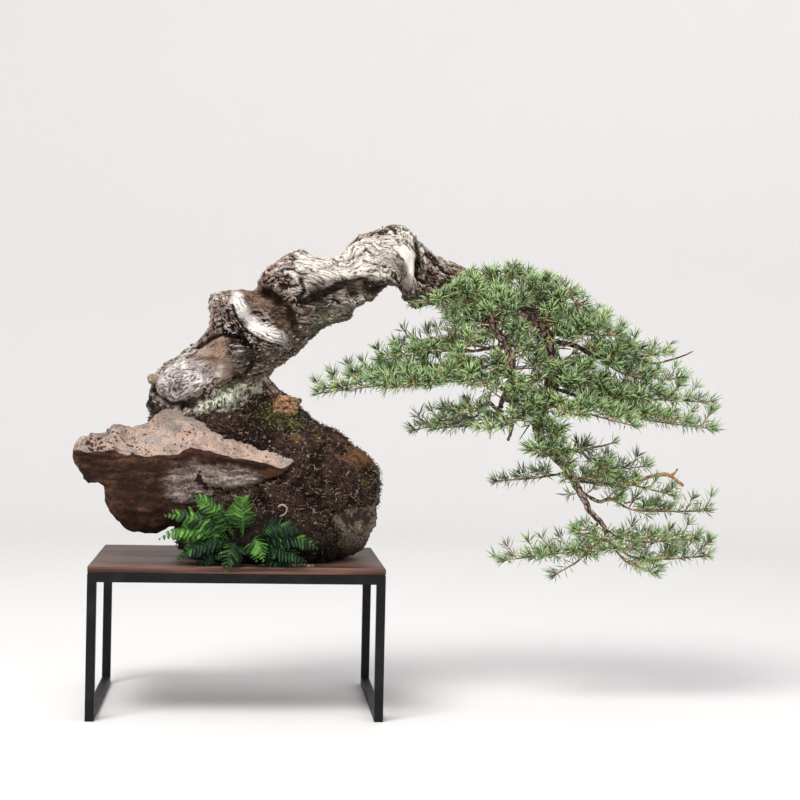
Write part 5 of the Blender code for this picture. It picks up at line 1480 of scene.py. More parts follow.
def trunk_surface(settings):
    """The trunk's skin and marks.

    Rough bark is broken plates over layered noise. Smooth wood has fine lines: along the grain, round the
    lower burl and the upper knob by the distance from their middles, and beside the bleached band by the
    distance from it. Creases sink as exp(-(distance / width)^2) and have raised lips. The grain runs along
    the trunk and turns slowly round it.
    """
    rings = trunk_rings(TRUNK_ALONG, TRUNK_ROUND)
    normal = facing(rings)
    for x, y, z, spread, height in TRUNK_STEPS:
        near = blob(rings, (x, y, z), (spread, 2.5 * spread, spread))
        rings = rings + normal * (height * near)[..., None]
    front = smooth(-normal[..., 1], -0.25, 0.25)
    above = np.maximum(front, smooth(normal[..., 2], 0.1, 0.5))
    along = lengths_along(rings.mean(axis=1))[:, None] + np.zeros(TRUNK_ROUND)
    turn = np.linspace(0, 2 * math.pi, TRUNK_ROUND, endpoint=False)
    turn = turn + 2 * math.pi * TRUNK_TWIST * np.linspace(0, 1, TRUNK_ALONG)[:, None]
    grain = np.stack([along, GRAIN_RADIUS * np.cos(turn), GRAIN_RADIUS * np.sin(turn)], axis=-1)
    grain = grain + 9 * drifts(rings, 30, 41)
    grain = grain + 3.4 * drifts(rings, 9, 34)
    drift = lumps(rings, 8, 44)
    even = np.zeros(rings.shape[:-1])
    pale = even.copy()
    for x, y, z, spread, level, bleach in SMOOTH_WOOD:
        near = blob(rings, (x, y, z), spread)
        even = np.maximum(even, level * smooth(near + 0.2 * drift, 0.2, 0.6))
        pale = np.maximum(pale, bleach * smooth(near + 0.3 * drift, 0.2, 0.7))
    bands = []
    for (path, width), side in (
        (BLEACHED_BAND, front), (HOLLOW_BAND, front), (LICHEN_BAND, front), (CREAM_BAND, above),
        (WHITE_STRIP, front), (PALE_UNDERSIDE, front),
    ):
        apart = front_distance(rings, path) + 3 * drift
        bands.append(side * (1 - smooth(apart, 0.5 * width, 1.25 * width)))
    band, hollow, lichen, cream, strip, pale_under = bands
    even = np.maximum(even, np.maximum(0.85 * np.maximum(band, strip), 0.8 * hollow))
    hollow = hollow * (1 - band)
    pale = np.maximum(pale * (1 - hollow), 0.86 * np.maximum(band, strip))
    cream = np.maximum(cream, 0.8 * pale_under)
    rough = (1 - even) * (1 - 0.6 * cream)
    crease = even * 0
    sunk = crease.copy()
    for path, width, depth in CREASES:
        apart = (front_distance(rings, path) + 1.6 * drift) / width
        crease = np.maximum(crease, front * np.exp(-(apart**2)))
        lip = 0.3 * np.exp(-(((apart - 2.1) / 0.9) ** 2))
        sunk = sunk + depth * front * (np.exp(-(apart**2)) - lip)
    texture = bark_texture(grain, settings.plate / MM, 48)
    burl = smooth(blob(rings, BURL_RINGS, 56), 0.15, 0.6)
    knot = blob(rings, KNOT_RINGS, (44, 50, 30)) * (1 - burl)
    fold = front * smooth(blob(rings, FOLDS, (58, 80, 50)), 0.15, 0.6) * (1 - burl)
    beside = front_distance(rings, BLEACHED_BAND[0]) / 4.6
    beside = beside + 0.7 * lumps(rings, 20, 64) + 0.4 * lumps(rings, 7, 65)
    lines = (1 - burl - knot - fold) * ridged(grain, (26, 2.6, 2.6), 54)
    lines = lines + burl * swirl(rings, BURL_RINGS, 4.8, 52) + knot * swirl(rings, KNOT_RINGS, 6.0, 62)
    lines = lines + fold * (0.5 + 0.5 * np.sin(2 * math.pi * beside + 1.5 * lumps(rings, 4, 66)))
    texture = texture + np.maximum(0.8 * cream, np.maximum(knot, 0.8 * fold)) * (1.1 * lines - 0.7)
    knobs = blobs(rings, KNOBS)
    uneven = 0.7 + 0.6 * smooth(lumps(rings, 24, 40), -0.4, 0.5)
    relief = settings.plate_relief / MM * (1 + 0.5 * knobs) * uneven
    coarse = 2.6 * layered(rings, 19, 51, layers=4)
    bark = relief * (texture - 1.15) + coarse * (1 + 0.5 * knobs)
    strong = 0.75 + 0.6 * blob(rings, (-112, -46, 460), 40) + 0.6 * lumps(rings, 17, 39)
    even_height = 1.1 * strong * (lines - 0.5) + 1.2 * layered(rings, 15, 55, layers=3)
    height = rough * bark + even * even_height - 8.0 * hollow + 1.0 * band - sunk
    # Between the bark's plates, darkened with the crevice colour: partly the bark's own dark and partly
    # painted shade
    deep = (1 - smooth(texture, 0.5, 1.15)) * (1 - 0.35 * cream) * (1 - even)
    line = (1 - smooth(lines, 0.02, 0.45)) * np.clip(strong, 0.2, 1) * np.maximum(even, 0.9 * cream)
    # Painted shade in the creases and in the shaded places
    dark = 0.95 * crease
    for x, y, z, spread, level in SHADED_WOOD:
        dark = np.maximum(dark, level * (1 - 0.8 * band) * blob(rings, (x, y, z), spread))
    shape = rings + normal * height[..., None]
    # Faces that turn downwards, darkened in the finish as painted shade
    under = smooth(-normal[..., 2] + 0.25 * lumps(rings, 14, 56), 0.05, 0.7)
    moss = 0.4 * smooth(normal[..., 2], 0.5, 0.95) * smooth(lumps(rings, 20, 58), 0, 0.5)
    moss = blobs(rings, TRUNK_MOSS) + moss
    brown = np.maximum(hollow, blob(rings, *BROWN_WOOD))
    marks = {
        "bare": pale, "deep": deep, "dark": dark, "under": under, "cream": cream,
        "lichen": np.clip(lichen * (0.6 + 0.6 * lumps(rings, 11, 60) + 0.9 * lumps(rings, 5, 57)), 0, 1),
        "moss": np.clip(moss + 0.45 * lumps(rings, 5, 59) - 0.2, 0, 1),
        # The crests of the rough bark, lightened in the finish as painted highlight
        "hollow": brown, "crest": (1 - even) * smooth(texture, 1.0, 1.75), "line": line,
        "grain_x": grain[..., 0], "grain_y": grain[..., 1], "grain_z": grain[..., 2],
    }
    return shape, normal, rough, marks


def trunk_finish(settings):
    """Weathered bark and bleached wood, coloured by the marks, with fibres and pores along the grain,
    painted highlight on the bark's crests, and painted shade in its crevices and creases, in shaded places
    and on its undersides.
    """
    finish = Finish("bark", roughness=0.9, specular=0.05)
    bare, deep, dark, under, lichen, moss, hollow, cream, crest, line = finish.marks(
        "bare", "deep", "dark", "under", "lichen", "moss", "hollow", "cream", "crest", "line"
    )
    along, across, over = finish.marks("grain_x", "grain_y", "grain_z")
    grained = finish.joined(along * (GRAIN_SHARE * MM), across * MM, over * MM)
    broad = finish.noise(20, detail=4)
    fibre = finish.noise(2.1, detail=5, rough=0.72, place=grained, warp=0.9)
    fleck = finish.noise(1.5, rough=0.6, place=grained, warp=1.6)
    grain = finish.noise(1.1, rough=0.7)
    drip = finish.noise(3.4, detail=4, rough=0.65, place=finish.scaled(1.0, 1.0, 0.4), warp=0.8)
    creamy = finish.step(cream, 0.2, 0.8)
    lit = finish.ramp(broad, 0.42, 0.58, (0.52, 0.46, 0.42), (0.72, 0.68, 0.63))
    lit = finish.mix(creamy, lit, (0.88, 0.845, 0.77))
    bark = finish.laid(
        finish.ramp(broad, 0.40, 0.62, (0.19, 0.12, 0.09), tuple(settings.bark)),
        (cream, 0.2, 0.8, 0.8, (0.60, 0.54, 0.46)),
        # Painted highlight on the bark's crests
        (crest + fibre * 0.9 + cream * 0.2 - 0.45, 0.2, 0.8, 0.9, lit),
        (fibre, 0.47, 0.35, 0.8, times(2, settings.crevice)),
        (fleck, 0.48, 0.38, finish.step(cream, 0.1, 0.6) * 0.6, (0.085, 0.066, 0.048)),
    )
    lilac = finish.laid(
        finish.ramp(broad + fibre * 0.6, 0.70, 0.98, (0.42, 0.365, 0.36), tuple(settings.bare)),
        (fibre, 0.50, 0.38, 0.75, (0.11, 0.082, 0.075)),
        (cream, 0.05, 0.5, 0.75, (0.86, 0.83, 0.78)),
        (bare, 0.80, 0.86, 0.5, (0.83, 0.79, 0.74)),
    )
    brown = finish.ramp(fibre + broad * 0.5, 0.64, 0.88, (0.022, 0.012, 0.008), (0.34, 0.22, 0.15))
    shade = finish.ramp(fibre, 0.42, 0.70, (0.003, 0.002, 0.001), (0.055, 0.036, 0.026))
    underside_shade = finish.ramp(fibre, 0.42, 0.66, (0.018, 0.011, 0.008), (0.22, 0.165, 0.12))
    crust = finish.ramp(drip, 0.40, 0.54, (0.035, 0.031, 0.022), (0.68, 0.70, 0.54))
    green = finish.ramp(grain, 0.4, 0.65, (0.035, 0.04, 0.014), (0.19, 0.20, 0.085))
    colour = finish.laid(
        bark,
        (bare, 0.1, 0.75, 1, lilac),
        (hollow, 0.25, 0.8, 0.9, brown),
        (line, 0.1, 0.8, 0.85 - cream * 0.25, (0.060, 0.040, 0.036)),
        # Crevices: partly the bark's own dark and partly painted shade
        (deep, 0.2, 0.75, 0.96, tuple(settings.crevice)),
        # Painted shade in the creases and the shaded places
        (dark, 0.1, 0.75, 0.96, shade),
    )
    colour = finish.laid(
        # Painted shade on the faces that turn downwards
        finish.mix(under * 0.68, colour, underside_shade),
        (lichen, 0.15, 0.5, 0.93, crust),
        (moss, 0.3, 0.7, 0.7, green),
    )
    return finish.done(colour, 0.82 + grain * 0.15, fibre + grain * 0.6, 0.9)


def bark_flakes(draw, rings, normal, rough, number):
    """Loose flakes: thin three-sided chips that lie along the trunk, where its bark is rough."""
    places, ways = strewn(draw, rings, normal, 3 * number)
    apart = np.linalg.norm(places[:, None] - rings[::8, ::8].reshape(-1, 3)[None], axis=-1).argmin(axis=1)
    places, ways = (part[rough[::8, ::8].ravel()[apart] > 0.8][:number] for part in (places, ways))
    along = unit(np.array([0.75, 0, 0.55]) + draw.normal(scale=0.45, size=places.shape))
    along = unit(along - ways * (along * ways).sum(axis=1, keepdims=True) * 0.6)
    lengths = draw.uniform(3.0, 9.0, len(places))
    return fibres(draw, places + ways * 0.5, along, lengths, draw.uniform(0.6, 1.6, len(places)), 0.1)


def limb_radii(count, start, end, bend=1.0):
    """Radii that narrow from start to end by a power of the share of the way."""
    return start + (end - start) * np.linspace(0, 1, count) ** bend


def dome(path, radii):
    """Radii that close in a quarter circle over the limb's last stretch, as long as its end is thick."""
    left = lengths_along(path)[-1] - lengths_along(path)
    share = np.clip(1 - left / radii[-1], 0, 0.985)
    return radii * np.sqrt(1 - share**2)


def limb_shape(path, radii, seed):
    """A limb's skin: circles across its path, knotted by noise and cracked between strewn points."""
    sides = int(np.clip(round(radii.max() * 2.8), 8, 36))
    sway = drifts(path, 17, seed) + 0.5 * drifts(path, 8, seed + 3)
    ends = smooth(lengths_along(path), 0, 12) * smooth(lengths_along(path)[::-1], 0, 12)
    path = path + sway * (0.22 * radii + 0.5)[:, None] * ends[:, None]
    rings = tube_rings(path, radii, sides)
    normal = facing(rings)
    along = lengths_along(path)[:, None] + np.zeros(sides)
    turn = np.linspace(0, 2 * math.pi, sides, endpoint=False) + 0.02 * along
    size = np.maximum(radii, 2.2)[:, None]
    grain = np.stack([along, size * np.cos(turn), size * np.sin(turn)], axis=-1)
    knots = 0.22 * lumps(grain, (15, 10, 10), seed) + 0.14 * lumps(grain, (6, 4, 4), seed + 1)
    cell = np.clip(0.55 * radii.mean(), 2.0, 7.0)
    first, second = nearest_two(grain, (2.4 * cell, cell, cell), seed + 2)
    crack = smooth(second - first, 0.02, 0.35)
    height = radii[:, None] * (knots + np.where(radii[:, None] > 3, 0.14, 0.2) * (crack - 0.7))
    # The second value marks cracks and sunk knots, which the finish darkens, partly as the bark's own dark
    # and partly as painted shade
    return rings + normal * height[..., None], np.clip(1.1 - crack - 0.6 * knots, 0, 1)


def smooth_route(points, step):
    """A route through the points, in even steps."""
    run = between(points, 80)
    return stretch(run, 0, lengths_along(run)[-1], step)


def limb_finish():
    """The limbs' bark: reddish brown on the thick ones, greyer on the thin ones, dark in the cracks, partly
    as painted shade, and dry dead wood.
    """
    finish = Finish("limb_bark", roughness=0.85, specular=0.08)
    deep, thick, dry = finish.marks("deep", "thick", "dry")
    scale = finish.noise(2.6, detail=5, rough=0.7, warp=0.8)
    broad = finish.noise(18)
    thin = finish.ramp(scale, 0.38, 0.66, (0.105, 0.072, 0.058), (0.42, 0.33, 0.275))
    red = finish.ramp(scale, 0.36, 0.60, (0.22, 0.125, 0.098), (0.60, 0.45, 0.385))
    tan = finish.ramp(scale, 0.38, 0.64, (0.22, 0.085, 0.035), (0.62, 0.35, 0.18))
    pale = finish.ramp(scale, 0.35, 0.65, (0.12, 0.085, 0.06), (0.42, 0.34, 0.27))
    colour = finish.laid(
        finish.ramp(thick + broad * 0.5, 0.45, 0.8, thin, red),
        (scale, 0.52, 0.66, 0.85, (0.76, 0.68, 0.63)),
        # Cracks: partly the bark's own dark and partly painted shade
        (deep, 0.4, 0.95, 0.88, (0.026, 0.013, 0.010)),
        (dry, 0.2, 0.6, 1, tan),
        (dry, 0.8, 0.95, 1, pale),
    )
    return finish.done(colour, 0.8 + scale * 0.15, scale, 0.6)


# How dry each dead stub's wood looks: 0.7 is orange-brown and 1 is pale
DRY_STUBS = {"left_stub": 1.0, "forked_jin": 0.7, "jin_fork": 0.7}


class BONSAI_OT_wood(bpy.types.Operator):
    """Makes the trunk with its loose flakes, and the stems, roots, stubs and bare branches."""

    bl_idname = "bonsai.wood"
    bl_label = "Trunk and branches"

    def execute(self, context):
        settings = context.scene.bonsai_wood
        finish = trunk_finish(settings)
        rings, normal, rough, marks = trunk_surface(settings)
        heap = Heap()
        heap.add(*skin(rings), **{name: with_ends(value) for name, value in marks.items()})
        finished(heap.build("trunk_bark", [finish]), "bark", "trunk_and_branches")
        draw = np.random.default_rng(17)
        heap = Heap()
        shapes = bark_flakes(draw, rings, normal, rough, settings.flakes)
        shade = np.repeat(draw.uniform(0, 1, len(shapes)), corner_count(shapes))
        heap.add(*skins(shapes), deep=0.7 * shade**2, crest=1 - shade, grain_x=700 * shade)
        finished(heap.build("bark_flakes", [finish]), "bark", "trunk_and_branches")
        self.make_limbs()
        return {"FINISHED"}

    @staticmethod
    def make_limbs():
        """The stems, roots, stubs and the bare part of each branch, in one piece."""
        limbs = [(points, *STEM_WIDTHS[name], STEM_BEND, 0.0, None) for name, points in STEMS.items()]
        for name, (points, start, end) in (ROOTS | STUBS).items():
            limbs.append((points, start, end, 1.0, DRY_STUBS.get(name, 0.0), None))
        limbs += [(route, start, BRANCH_END, 1.0, 0.0, bare) for route, start, bare in BRANCHES.values()]
        heap = Heap()
        for seed, (points, start, end, bend, dry, bare) in enumerate(limbs):
            path = smooth_route(points, 1.8)
            if bare:
                path = stretch(path, 0, bare + 2, 1.8)
            radii = dome(path, limb_radii(len(path), start, end, bend))
            shape, deep = limb_shape(path, radii, 200 + 8 * seed)
            thick = with_ends(np.broadcast_to(smooth(radii, 2.0, 7.0)[:, None], deep.shape))
            heap.add(*skin(shape), deep=with_ends(deep), thick=thick, dry=dry)
        finished(heap.build("limbs", [limb_finish()]), "bark", "trunk_and_branches")


# Needles

# A needle's corners: its root, three before its middle, and its tip
NEEDLE_CORNERS = 5
# The turn from each needle on a twig to the next, in radians, and the needles in the tuft at a twig's tip
GOLDEN_TURN = 2.39996
TUFT_NEEDLES = 12
# Side shoots longer than this fork
FORK_LENGTH = 24


def needle_batch(roots, ways, overs, lengths, width):
    """Needles as slim spindles: a point in the twig, three corners before the middle, and the tip.

    The three corners give a flat upper face with a keel below, and lie a little off the line from root
    to tip, so that each needle bows.
    """
    aside = unit(np.cross(ways, overs))
    over = np.cross(aside, ways)
    section = np.array([[0.5, 0.10], [-0.5, 0.10], [0.0, -0.42]]) * width
    corner = aside[:, None] * section[:, :1] + over[:, None] * section[:, 1:]
    length = lengths[:, None]
    middle = roots + ways * length * 0.52 + over * length * 0.03
    tip = roots + ways * length
    points = np.concatenate([roots[:, None], middle[:, None] + corner, tip[:, None]], axis=1)
    faces = np.array([[0, 2, 1], [0, 3, 2], [0, 1, 3], [4, 1, 2], [4, 2, 3], [4, 3, 1]])
    faces = faces + (np.arange(len(roots)) * NEEDLE_CORNERS)[:, None, None]
    return points.reshape(-1, 3), [faces.reshape(-1, 3)]


def shoot(draw, foot, heading, length, bend):
    """A shoot's path: straight from its foot, turned by a parabola towards the bend's way."""
    share = np.linspace(0, 1, 5)[:, None]
    sideways = draw.normal(scale=0.05, size=3) * length
    return foot + heading * length * share + (np.array(bend) * length + sideways) * share**2


def side_shoots(draw, middle, first, spacing, longest):
    """Shoots along a twig, left and right in turn and shorter to its tip, and every third one upwards.

    The long ones carry two smaller ones.
    """
    total = lengths_along(middle)[-1]
    ahead = unit(np.gradient(middle, axis=0))
    shoots = []
    count = max(2, int((total - first) / spacing))
    for index in range(count):
        share = (index + 0.5 + draw.uniform(-0.35, 0.35)) / count
        place = first + share * (total - first)
        foot = at_length(middle, np.array([place]))[0]
        forward = ahead[min(int(place / total * len(middle)), len(middle) - 1)]
        side = unit(np.cross(forward, (0.0, 0.0, 1.0))) * (-1) ** index
        if index % 3 == 2:
            heading = unit(0.5 * forward + draw.uniform(0.1, 0.7) * side + (0, 0, 1))
            length = draw.uniform(0.4, 0.62) * longest
        else:
            turn = math.radians(draw.uniform(36, 62))
            heading = forward * math.cos(turn) + side * math.sin(turn)
            heading = unit(heading + (0, 0, draw.uniform(-0.1, 0.32)))
            length = longest * min(1.0, 1.3 - share) * draw.uniform(0.72, 1.1)
        path = shoot(draw, foot, heading, length, 0.12 * forward + (0, 0, 0.07))
        shoots.append(path)
        if length > FORK_LENGTH:
            for part, turned in ((0.42, 1), (0.7, -1)):
                fork = at_length(path, np.array([part * length]))[0]
                across = unit(np.cross(heading, (0.0, 0.0, 1.0))) * turned * draw.choice((-1, 1))
                way = unit(heading + draw.uniform(0.6, 1.1) * across + (0, 0, draw.uniform(0.0, 0.7)))
                shoots.append(shoot(draw, fork, way, draw.uniform(0.36, 0.5) * length, 0.1 * heading))
    return shoots


def seen(points):
    """Where the line of sight from the picture's place to each point meets the plane through the trunk."""
    eye = np.array(CAMERA_PLACE)
    return eye + (points - eye) * (eye[1] / (eye[1] - points[..., 1:2]))


def trimmed(draw, points):
    """Whether each point lies under the crown's trimmed outline and clear of the places where it parts."""
    place = seen(points)
    kept = place[..., 2] < np.interp(place[..., 0], *zip(*CROWN_OUTLINE))
    for path, width in PARTINGS:
        kept &= front_distance(place, path) > width * draw.uniform(0.75, 1.15, kept.shape)
    return kept


def needle_places(draw, path, spacing, length, bare):
    """Roots, ways, upper sides and lengths of the needles past a shoot's bare part.

    They go round it by the golden turn, lean to the tip, turn upwards, are shorter and fewer underneath,
    and end in a tuft that splays from the tip.
    """
    total = lengths_along(path)[-1]
    number = max(3, int((total - bare) / spacing))
    marks = bare + (np.arange(number) + draw.random(number)) * (total - bare) / number
    marks = np.concatenate([marks, np.full(TUFT_NEEDLES, total - 0.4)])
    marks = np.clip(marks, 1.5, total - 0.3)
    ahead, aside, over = (read_off(axis, lengths_along(path), marks) for axis in frame_along(path))
    roots = at_length(path, marks)
    turn = np.arange(len(marks)) * GOLDEN_TURN + draw.uniform(-0.5, 0.5, len(marks))
    radial = aside * np.cos(turn)[:, None] + over * np.sin(turn)[:, None]
    lean = np.radians(68 - 16 * smooth(marks, total - 14, total) + draw.uniform(-14, 14, len(marks)))
    lean[number:] = np.radians(draw.uniform(8, 74, TUFT_NEEDLES))
    ways = unit(radial * np.sin(lean)[:, None] + ahead * np.cos(lean)[:, None] + (0, 0, 0.16))
    below = smooth(-radial[:, 2], 0.1, 0.8)
    sizes = length * draw.uniform(0.74, 1.12, len(marks)) * (1 - 0.25 * below)
    kept = draw.random(len(marks)) > 0.45 * below
    kept[number:] = True
    return (part[kept] for part in (roots, ways, unit(ahead + 0.25 * radial), sizes))


def twig_rings(path, start, end, sides):
    """A twig: circles across its path, with a small bud swelling at the tip. Marks tell the bud."""
    bud = path[-1] + unit(path[-1] - path[-2]) * np.array([[0.8], [2.6]])
    radii = np.concatenate([limb_radii(len(path), start, end), [end * 1.6, 0.3]])
    rings = tube_rings(np.concatenate([path, bud]), radii, sides)
    marks = np.zeros(rings.shape[:2])
    marks[len(path):] = 1
    return rings, marks


def needle_finish(settings):
    """Needles: each its own green by its tone, pale and bluish on the keel, lighter towards the point, and
    darker at the root as painted shade by the twig.
    """
    finish = Finish("needles", roughness=0.4, specular=0.45)
    tone, tip, keel, age = finish.marks("tone", "tip", "keel", "age")
    broad = finish.noise(26)
    green = tuple(settings.green)
    deep = times(0.14, green)
    colour = finish.laid(
        finish.ramp(tone + broad * 0.4 - 0.2, 0.1, 0.65, deep, green),
        (tone, 0.46, 0.86, 0.85, tuple(settings.young)),
        # Painted shade at the needles' roots, by the twig
        (tip, 0.4, 0.0, 0.6, deep),
        (tip, 0.3, 1.0, 0.5, (0.74, 0.85, 0.50)),
        (keel, 0.3, 1.0, 0.7, (0.62, 0.74, 0.56)),
        (age, 0.5, 0.9, 1, (0.36, 0.18, 0.06)),
    )
    return finish.done(colour, 0.34 + broad * 0.15)


def twig_finish():
    """Young wood: yellow-brown, with darker scales, greyer on old twigs, and red-brown buds."""
    finish = Finish("twigs", roughness=0.7, specular=0.15)
    bud, old = finish.marks("bud", "old")
    fine = finish.noise(2.2)
    young = finish.ramp(fine, 0.35, 0.65, (0.32, 0.17, 0.07), (0.74, 0.52, 0.27))
    aged = finish.ramp(fine, 0.35, 0.65, (0.11, 0.068, 0.046), (0.42, 0.31, 0.23))
    colour = finish.mix(bud, finish.mix(old, young, aged), (0.24, 0.085, 0.030))
    return finish.done(colour, 0.62 + fine * 0.2, fine, 0.3)


# The crown's trimmed outline in X and Z, as it is seen from the front
CROWN_OUTLINE = (
    (60, 900), (200, 560), (240, 600), (280, 618), (304, 630), (322, 648), (340, 660), (370, 668),
    (401, 674), (432, 668), (456, 660), (481, 652), (505, 638), (528, 620), (560, 600), (604, 570),
    (643, 556), (729, 552), (900, 552),
)
# Places where the foliage parts and shows what is behind: a path in X and Z, and half its width
PARTINGS = (
    (((368, 582), (386, 560), (401, 537)), 9),
    (((424, 597), (442, 580), (458, 564)), 10),
    (((465, 540), (470, 528)), 8),
    (((478, 554), (508, 542), (540, 527)), 5),
    (((404, 519), (434, 503)), 7),
    (((459, 488), (500, 468)), 7),
    (((344, 534), (360, 531)), 9),
    (((388, 461), (392, 457)), 14),
    (((487, 534), (493, 530)), 8),
    (((266, 555), (306, 561)), 6),
    (((516, 326), (535, 300), (553, 274)), 8),
)
# Tufts at the crown's front, each on a twig of its own
TUFTS = (
    (292, -30, 605), (315, -40, 608), (335, -45, 606), (314, -42, 564), (336, -40, 576),
    (354, -52, 532), (385, -62, 544), (404, -60, 568), (425, -55, 530), (377, -60, 512),
    (335, -62, 496), (359, -64, 485), (411, -60, 480), (442, -50, 495), (474, -50, 546),
    (497, -46, 571), (534, -40, 546), (472, -55, 456), (510, -55, 450), (427, -55, 450),
    (533, -48, 485), (561, -48, 465), (499, -52, 487), (405, -50, 454), (595, -45, 477),
    (452, -50, 585), (379, -52, 598), (357, -50, 594), (410, -46, 611), (471, -40, 612),
    (472, -48, 508), (515, -46, 520), (467, -35, 390), (539, -35, 359), (353, -40, 508),
    (299, -55, 492),
    (467, -42, 503), (457, -46, 474), (450, -44, 449), (448, -40, 422), (461, -46, 551),
    (393, -62, 519), (400, -60, 493), (386, -56, 467), (408, -50, 587), (518, -36, 587),
    (543, -36, 569), (565, -36, 553), (581, -34, 542), (495, -38, 607), (472, -34, 629),
    (449, -34, 636), (428, -44, 623), (372, -48, 615), (344, -40, 627), (420, -56, 548),
    (488, -48, 547), (518, -44, 539), (550, -42, 529), (502, -52, 501), (436, -56, 514),
    (365, -50, 455), (471, -36, 409), (487, -34, 380), (335, -56, 542), (318, -58, 516),
)
# How full a branch's needles are, where they differ from the rest
SPRAY_FULLNESS = {"bare_twig": 0.3}


